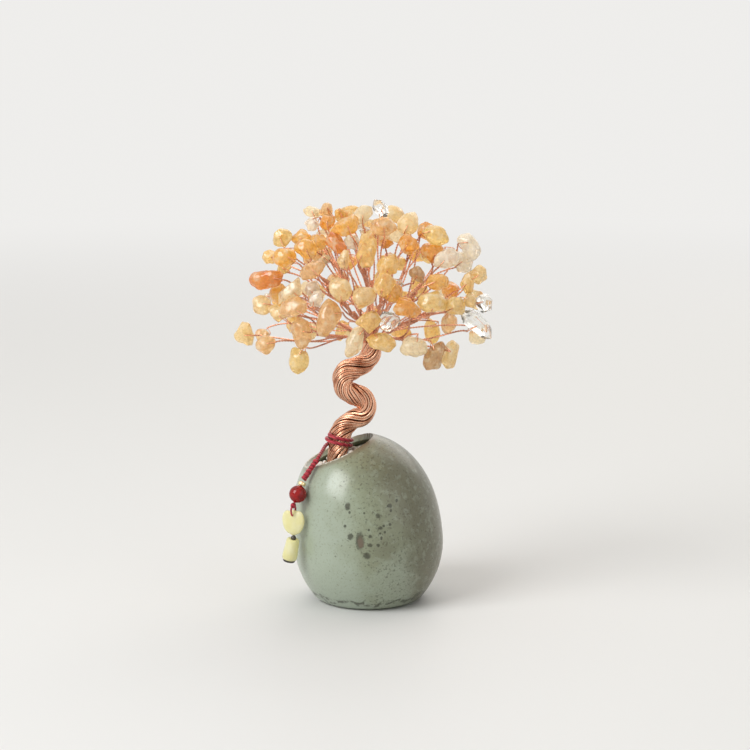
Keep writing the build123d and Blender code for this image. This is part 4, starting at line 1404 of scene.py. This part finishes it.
@dataclass
class Tassel:
    """The cord tied round the trunk, its knots, beads and charms."""

    cord: float = 0.6 * MM
    turns: int = 2
    turn_points: int = 16
    pitch: float = 1.7 * MM
    ring: float = 4.25 * MM
    height: float = 54.0 * MM
    tail_drop: float = 1.0 * MM
    tail_gap: float = 0.45 * MM
    tail_shares: tuple = (0.3, 0.65, 1.0)
    tuck: float = 1.0 * MM
    length: float = 65.1 * MM
    turn: float = radians(212)
    charm_turn: float = radians(250)
    rim: tuple = (20.4, 49.3)
    bead: tuple = (27.4, 39.0)
    bead_radius: float = 2.9 * MM
    bead_hole: float = 0.7 * MM
    bead_mouth: float = radians(76)
    bead_dimple: float = 0.3 * MM
    bead_steps: int = 24
    gap: float = 0.15 * MM
    spacer: float = 1.2 * MM
    spacer_rings: tuple = (
        (0.7, -0.6), (1.05, -0.6), (1.22, -0.4), (1.28, 0.0), (1.22, 0.4), (1.05, 0.6), (0.7, 0.6),
    )
    drop_lean: float = radians(26)
    drop_cord: float = 0.45 * MM
    knot_radius: float = 0.95 * MM
    knots: tuple = (0.0, 0.64, 0.82, 1.0)
    knot_ring: tuple = (0.62 * MM, 0.44 * MM)
    knot_tilt: float = radians(14)
    braid_strand: float = 0.38 * MM
    braid_ring: float = 0.48 * MM
    braid_weave: float = 0.14 * MM
    braid_turns: float = 3.0
    braid_steps: int = 96
    stop: float = 1.0 * MM
    stop_ring: tuple = (0.5 * MM, 0.5 * MM)
    stop_tilts: tuple = (-0.6, 0.6)
    eye: float = 1.9 * MM
    eye_drop: float = 1.5 * MM
    eye_cord: float = 0.33 * MM
    eye_steps: int = 28
    lobes: tuple = (
        Lobe(2.9, 1.1, 4.3, 0.0, -5.75, 0.0),
        Lobe(2.3, 0.95, 4.0, 1.5, -5.7, radians(11)),
        Lobe(2.3, 0.95, 4.0, -1.5, -5.7, radians(-11)),
    )
    link: float = 0.9 * MM
    link_drop: float = 10.98 * MM
    lower_lean: float = radians(12)
    tube_rings: tuple = (
        (1.1, 0.55), (1.6, 0.27), (1.95, 0.4), (2.1, 0.75), (2.22, 2.2),
        (2.4, 4.4), (2.5, 6.2), (2.46, 7.0), (2.3, 7.4), (1.95, 7.55),
    )
    band_rings: tuple = ((1.9, 7.55), (2.0, 7.65), (2.0, 8.1), (1.85, 8.25))

    def __post_init__(self) -> None:
        """Work out the tassel's places and directions."""
        self.out = Vector((cos(self.turn), sin(self.turn), 0.0))
        self.across = self.out.cross(UP)
        self.drop = self.out * sin(self.drop_lean) - UP * cos(self.drop_lean)
        self.face = Vector((cos(self.charm_turn), sin(self.charm_turn), 0.0))
        self.left = self.face.cross(UP)
        self.bead_place = self.at(*self.bead)
        self.first_knot = self.at(*self.rim)
        self.last_knot = self.bead_place - self.drop * (
            self.bead_radius + self.spacer + self.knot_radius + 3 * self.gap
        )
        self.stop_place = self.bead_place + self.drop * (self.bead_radius + self.gap + self.stop)

    def at(self, out: float, up: float) -> Vector:
        """A place in the tassel's plane, in millimetres out from the pot's middle and up."""
        return self.out * (out * MM) + UP * (up * MM)

    def tie_line(self) -> list[Vector]:
        """The tie cord's points: turns down round the trunk, then the tail to the rim.

        Returns:
            The points.
        """
        foot, lean = mm(*TRUNK_CORNERS[1]), mm(*TRUNK_CORNERS[2])
        way = (lean - foot).normalized()
        middle = foot + way * ((self.height - foot.z) / way.z)
        side = Vector((1.0, 0.0, -way.x / way.z)).normalized()
        up = way.cross(side)
        along = (self.last_knot - self.first_knot).normalized()
        end = self.first_knot - along * (self.knot_radius + self.tail_gap)
        seen = end - middle
        leave = atan2(seen.dot(up), seen.dot(side)) - acos(self.ring / hypot(seen.dot(side), seen.dot(up)))
        count = self.turns * self.turn_points
        reach = self.ring / cos(pi / self.turn_points)
        line = []
        for k in range(count + 1):
            angle = leave - 2 * pi * (count - k) / self.turn_points
            late = max(0.0, k - count + self.turn_points / 4) / (self.turn_points / 4)
            fall = self.pitch * (self.turns / 2 - k / self.turn_points) - self.tail_drop * late**2
            under = self.tuck * max(0.0, 1 - 4 * k / self.turn_points) ** 2
            line.append(middle + (side * cos(angle) + up * sin(angle)) * (reach - under) + way * fall)
        return line + [line[-1].lerp(end, share) for share in self.tail_shares] + [self.first_knot]

    def build_tie(self, finish: bpy.types.Material) -> None:
        """Run the tie cord along its points.

        Args:
            finish: The cord's finish.
        """
        curve = bpy.data.curves.new("tie_cord_line", "CURVE")
        curve.dimensions = "3D"
        curve.bevel_depth = self.cord
        curve.bevel_resolution = 4
        curve.resolution_u = 6
        curve.use_fill_caps = True
        points = self.tie_line()
        spline = curve.splines.new("NURBS")
        spline.points.add(len(points) - 1)
        for point, place in zip(spline.points, points):
            point.co = (*place, 1.0)
        spline.order_u = 3
        spline.use_endpoint_u = True
        piece = bpy.data.objects.new("tie_cord_line", curve)
        bpy.context.collection.objects.link(piece)
        dress(piece, finish, TREE, "red_cord", "tie_cord")

    def ring_piece(self, size: tuple[float, float], place: Vector, along: Vector) -> bpy.types.Object:
        """A ring of cord.

        Args:
            size: Radius of its middle line and radius of the cord.
            place: Its middle.
            along: Its axis.

        Returns:
            The ring.
        """
        bpy.ops.object.select_all(action="DESELECT")
        bpy.ops.mesh.primitive_torus_add(
            major_segments=24, minor_segments=10, major_radius=size[0], minor_radius=size[1]
        )
        return put(bpy.context.object, place, along)

    def braid(self) -> list[list[Vector]]:
        """The lines of four strands that pass over and under each other along the hanging length.

        Returns:
            The points of each strand.
        """
        along = self.last_knot - self.first_knot
        up = along.normalized().cross(self.across)
        routes = []
        for way in (1, -1):
            for start in (0.0, pi):
                line = []
                for k in range(self.braid_steps + 1):
                    turn = 2 * pi * self.braid_turns * k / self.braid_steps
                    angle = start + way * turn
                    reach = self.braid_ring + way * self.braid_weave * cos(2 * turn)
                    middle = self.first_knot + along * (k / self.braid_steps)
                    line.append(middle + (self.across * cos(angle) + up * sin(angle)) * reach)
                routes.append(line)
        return routes

    def build_knots(self, finish: bpy.types.Material) -> None:
        """Braid the hanging length and tie a few knots round it.

        Args:
            finish: The cord's finish.
        """
        along = (self.last_knot - self.first_knot).normalized()
        rings = [wires("braid", self.braid(), self.braid_strand, 2)]
        for k, share in enumerate(self.knots):
            tilt = self.knot_tilt * (1 if k % 2 else -1)
            way = along * cos(tilt) + self.across * sin(tilt)
            rings.append(self.ring_piece(self.knot_ring, self.first_knot.lerp(self.last_knot, share), way))
        piece = joined(rings, "snake_knots")
        smooth(piece)
        dress(piece, finish, TASSEL, "red_cord", "knotted_cord")

    def build_beads(self) -> None:
        """Turn the red bead and the gilt spacer above it."""
        radius, hole = self.bead_radius, self.bead_hole
        turns = [self.bead_mouth * (2 * k / self.bead_steps - 1) for k in range(self.bead_steps + 1)]
        arc = [(radius * cos(a), radius * sin(a)) for a in turns]
        first, last = ((hole, way * (arc[-1][1] - self.bead_dimple)) for way in (-1, 1))
        ball = lathe("agate_bead", [first, *arc, last], 40)
        smooth(put(ball, self.bead_place, self.drop))
        dress(ball, AGATE.material(), "red_bead", "red_agate", "red_bead")
        gilt = lathe("gilt_spacer", in_metres(self.spacer_rings), 32)
        smooth(put(gilt, self.bead_place - self.drop * (radius + self.gap + self.spacer / 2), self.drop))
        dress(gilt, GiltFinish().material(), "spacer_bead", "gilt_bead", "spacer_bead")

    def build_stop(self, cord: bpy.types.Material) -> None:
        """Run the short cord through the beads, and tie the stop knot with its eye below them.

        Args:
            cord: The cord's finish.
        """
        start = self.bead_place - self.drop * (self.bead_radius + self.spacer + 2 * self.gap)
        end = self.stop_place - self.drop * self.stop
        line = wires("bead_cord", [[start, self.bead_place, end]], self.drop_cord, 2)
        dress(line, cord, TASSEL, "red_cord", "drop_cord")
        turns = []
        for tilt in self.stop_tilts:
            way = self.face * sin(tilt) + self.left * cos(tilt)
            turns.append(self.ring_piece(self.stop_ring, self.stop_place, way))
        middle = self.stop_place - UP * self.eye_drop
        angles = [2 * pi * k / self.eye_steps for k in range(self.eye_steps + 1)]
        loop = [middle + (self.face * sin(a) + UP * cos(a)) * self.eye for a in angles]
        turns.append(wires("eye", [loop], self.eye_cord, 2))
        piece = joined(turns, "stop_knot_turns")
        smooth(piece)
        dress(piece, cord, TASSEL, "red_cord", "stop_knot")

    def carve(self, lobe: Lobe) -> bpy.types.Object:
        """A flat rounded lobe of the upper charm.

        Args:
            lobe: Its sizes, place and lean.

        Returns:
            The piece.
        """
        bpy.ops.object.select_all(action="DESELECT")
        bpy.ops.mesh.primitive_uv_sphere_add(segments=40, ring_count=24, radius=1.0)
        piece = bpy.context.object
        piece.scale = mm(lobe.half_width, lobe.half_thickness, lobe.half_height)
        apply_place(piece)
        up = UP * cos(lobe.lean) + self.left * sin(lobe.lean)
        turn = Matrix((up.cross(self.face) * -1, self.face * -1, up)).transposed()
        piece.matrix_world = turn.to_4x4()
        piece.location = self.stop_place + self.left * (lobe.left * MM) + UP * (lobe.up * MM)
        apply_place(piece)
        return piece

    def build_petal(self, jade: bpy.types.Material) -> None:
        """Join the upper charm's lobes into a petal.

        Args:
            jade: The finish.
        """
        petal, *others = [self.carve(lobe) for lobe in self.lobes]
        for other in others:
            union = petal.modifiers.new("union", "BOOLEAN")
            union.operation = "UNION"
            union.object = other
        apply_modifiers(petal)
        for other in others:
            bpy.data.meshes.remove(other.data)
        petal.name = "petal_charm"
        smooth(petal, radians(30))
        dress(petal, jade, "upper_charm", "pale_jade", "upper_charm")

    def build_charms(self) -> None:
        """Make the upper charm, the link bead, and the lower charm with its band; the link bead and the band
        are near-black, painted shade.
        """
        jade, dark = JADE.material(), SHADOW_DARK_STONE.material()
        self.build_petal(jade)
        link_place = self.stop_place - UP * self.link_drop
        bpy.ops.object.select_all(action="DESELECT")
        bpy.ops.mesh.primitive_uv_sphere_add(segments=24, ring_count=14, radius=self.link, location=link_place)
        link = bpy.context.object
        link.name = "link_ball"
        apply_place(link)
        bpy.ops.object.shade_smooth()
        dress(link, dark, "upper_charm", "dark_bead", "link_bead")
        way = self.left * sin(self.lower_lean) - UP * cos(self.lower_lean)
        tube = lathe("tube_charm", in_metres(self.tube_rings), 36)
        smooth(put(tube, link_place, way), radians(50))
        dress(tube, jade, "lower_charm", "pale_jade", "lower_charm")
        band = lathe("tube_band", in_metres(self.band_rings), 36)
        smooth(put(band, link_place, way))
        dress(band, dark, "lower_charm", "dark_bead", "end_band")

    def build(self) -> None:
        """Build the cord, the knots, the beads and the charms."""
        cord = CordFinish().material()
        self.build_tie(cord)
        self.build_knots(cord)
        self.build_beads()
        self.build_stop(cord)
        self.build_charms()


class Lamp(NamedTuple):
    """A square soft lamp, in metres and watts."""

    name: str
    place: tuple[float, float, float]
    size: float
    power: float
    tint: tuple[float, float, float]


@dataclass
class Studio:
    """The pale floor, the lamps and the camera."""

    target: Vector = field(default_factory=lambda: mm(2.2, 0.0, 76.3))
    distance: float = 0.7
    focal_pixels: float = 2100.0
    image_pixels: float = 750.0
    pale: tuple = rgb(0.72, 0.715, 0.70)
    surround: tuple = rgb(1.0, 0.99, 0.97)
    light_level: float = 0.35
    seen_level: float = 0.86
    floor_radius: float = 12.0
    fade_start: float = 0.22
    fade_end: float = 1.3
    sensor: float = 36.0
    clip: tuple = (0.01, 50.0)
    lamps: tuple = (
        Lamp("key", (-0.75, -0.55, 0.75), 0.65, 10.0, (0.98, 0.99, 1.0)),
        Lamp("top", (0.0, 0.4, 2.2), 2.4, 14.0, (1.0, 0.99, 0.97)),
        Lamp("fill", (0.9, -0.7, 0.5), 0.9, 1.3, (0.95, 0.97, 1.0)),
        Lamp("back", (0.35, 0.75, 0.75), 1.0, 3.5, (1.0, 0.96, 0.90)),
    )

    def build_floor(self) -> None:
        """Lay a wide round floor that pales into the surround towards its edge."""
        bpy.ops.object.select_all(action="DESELECT")
        bpy.ops.mesh.primitive_circle_add(vertices=96, radius=self.floor_radius, fill_type="TRIFAN")
        floor = bpy.context.object
        floor.name = "floor"
        palette = Palette("pale_floor")
        palette.shade(Base_Color=self.pale, Roughness=0.6)
        away = palette.node("VectorMath", {0: palette.place}, operation="LENGTH").outputs["Value"]
        fade = palette.step(away, self.fade_start, self.fade_end)
        far = palette.math("MULTIPLY", fade, self.seen(palette.tree))
        glow = palette.node("Emission", {"Color": self.surround, "Strength": self.seen_level})
        palette.blend(far, glow.outputs["Emission"])
        floor.data.materials.append(palette.material)

    def seen(self, tree: bpy.types.NodeTree) -> bpy.types.NodeSocket:
        """Whether a ray comes from the camera, straight or by way of a gloss or a clear stone.

        Args:
            tree: The nodes of a material or of the world.

        Returns:
            1 for such a ray and 0 for one that only lights a surface.
        """
        rays = tree.nodes.new("ShaderNodeLightPath").outputs
        total = rays["Is Camera Ray"]
        for name in ("Is Glossy Ray", "Is Transmission Ray"):
            most = tree.nodes.new("ShaderNodeMath")
            most.operation = "MAXIMUM"
            tree.links.new(total, most.inputs[0])
            tree.links.new(rays[name], most.inputs[1])
            total = most.outputs[0]
        return total

    def build_lamps(self) -> None:
        """Hang a soft lamp at the upper left, and softer ones above, at the right and behind."""
        for lamp in self.lamps:
            light = bpy.data.lights.new(lamp.name, "AREA")
            light.size = lamp.size
            light.energy = lamp.power
            light.color = lamp.tint
            holder = bpy.data.objects.new(lamp.name, light)
            holder.location = lamp.place
            holder.rotation_euler = (self.target - Vector(lamp.place)).to_track_quat("-Z", "Y").to_euler()
            bpy.context.collection.objects.link(holder)

    def build_world(self) -> None:
        """A pale surround where it is seen, and a dimmer one for light."""
        world = bpy.data.worlds.new("surround")
        bpy.context.scene.world = world
        world.use_nodes = True
        tree = world.node_tree
        strength = tree.nodes.new("ShaderNodeMix")
        strength.inputs["A"].default_value = self.light_level
        strength.inputs["B"].default_value = self.seen_level
        tree.links.new(self.seen(tree), strength.inputs["Factor"])
        background = tree.nodes["Background"]
        background.inputs["Color"].default_value = self.surround
        tree.links.new(strength.outputs["Result"], background.inputs["Strength"])

    def build_camera(self) -> None:
        """Look at the ornament as the photograph does."""
        camera = bpy.data.cameras.new("camera")
        camera.sensor_width = self.sensor
        camera.lens = camera.sensor_width * self.focal_pixels / self.image_pixels
        camera.clip_start, camera.clip_end = self.clip
        holder = bpy.data.objects.new("camera", camera)
        towards = Vector((0.0, cos(SIGHT_PITCH), -sin(SIGHT_PITCH)))
        holder.location = self.target - towards * self.distance
        holder.rotation_euler = towards.to_track_quat("-Z", "Y").to_euler()
        bpy.context.collection.objects.link(holder)
        bpy.context.scene.camera = holder

    def build(self) -> None:
        """Build the studio."""
        bpy.context.scene.view_settings.view_transform = "Standard"
        self.build_camera()
        self.build_floor()
        self.build_lamps()
        self.build_world()


def main() -> None:
    """Build the studio and the ornament, piece by piece."""
    logging.basicConfig(level=logging.INFO, format="%(message)s")
    Studio().build()
    copper = CopperFinish().material()
    Tassel().build()
    Pot().build()
    Trunk().build(copper)
    Crown().build(copper)


if __name__ == "__main__":
    main()
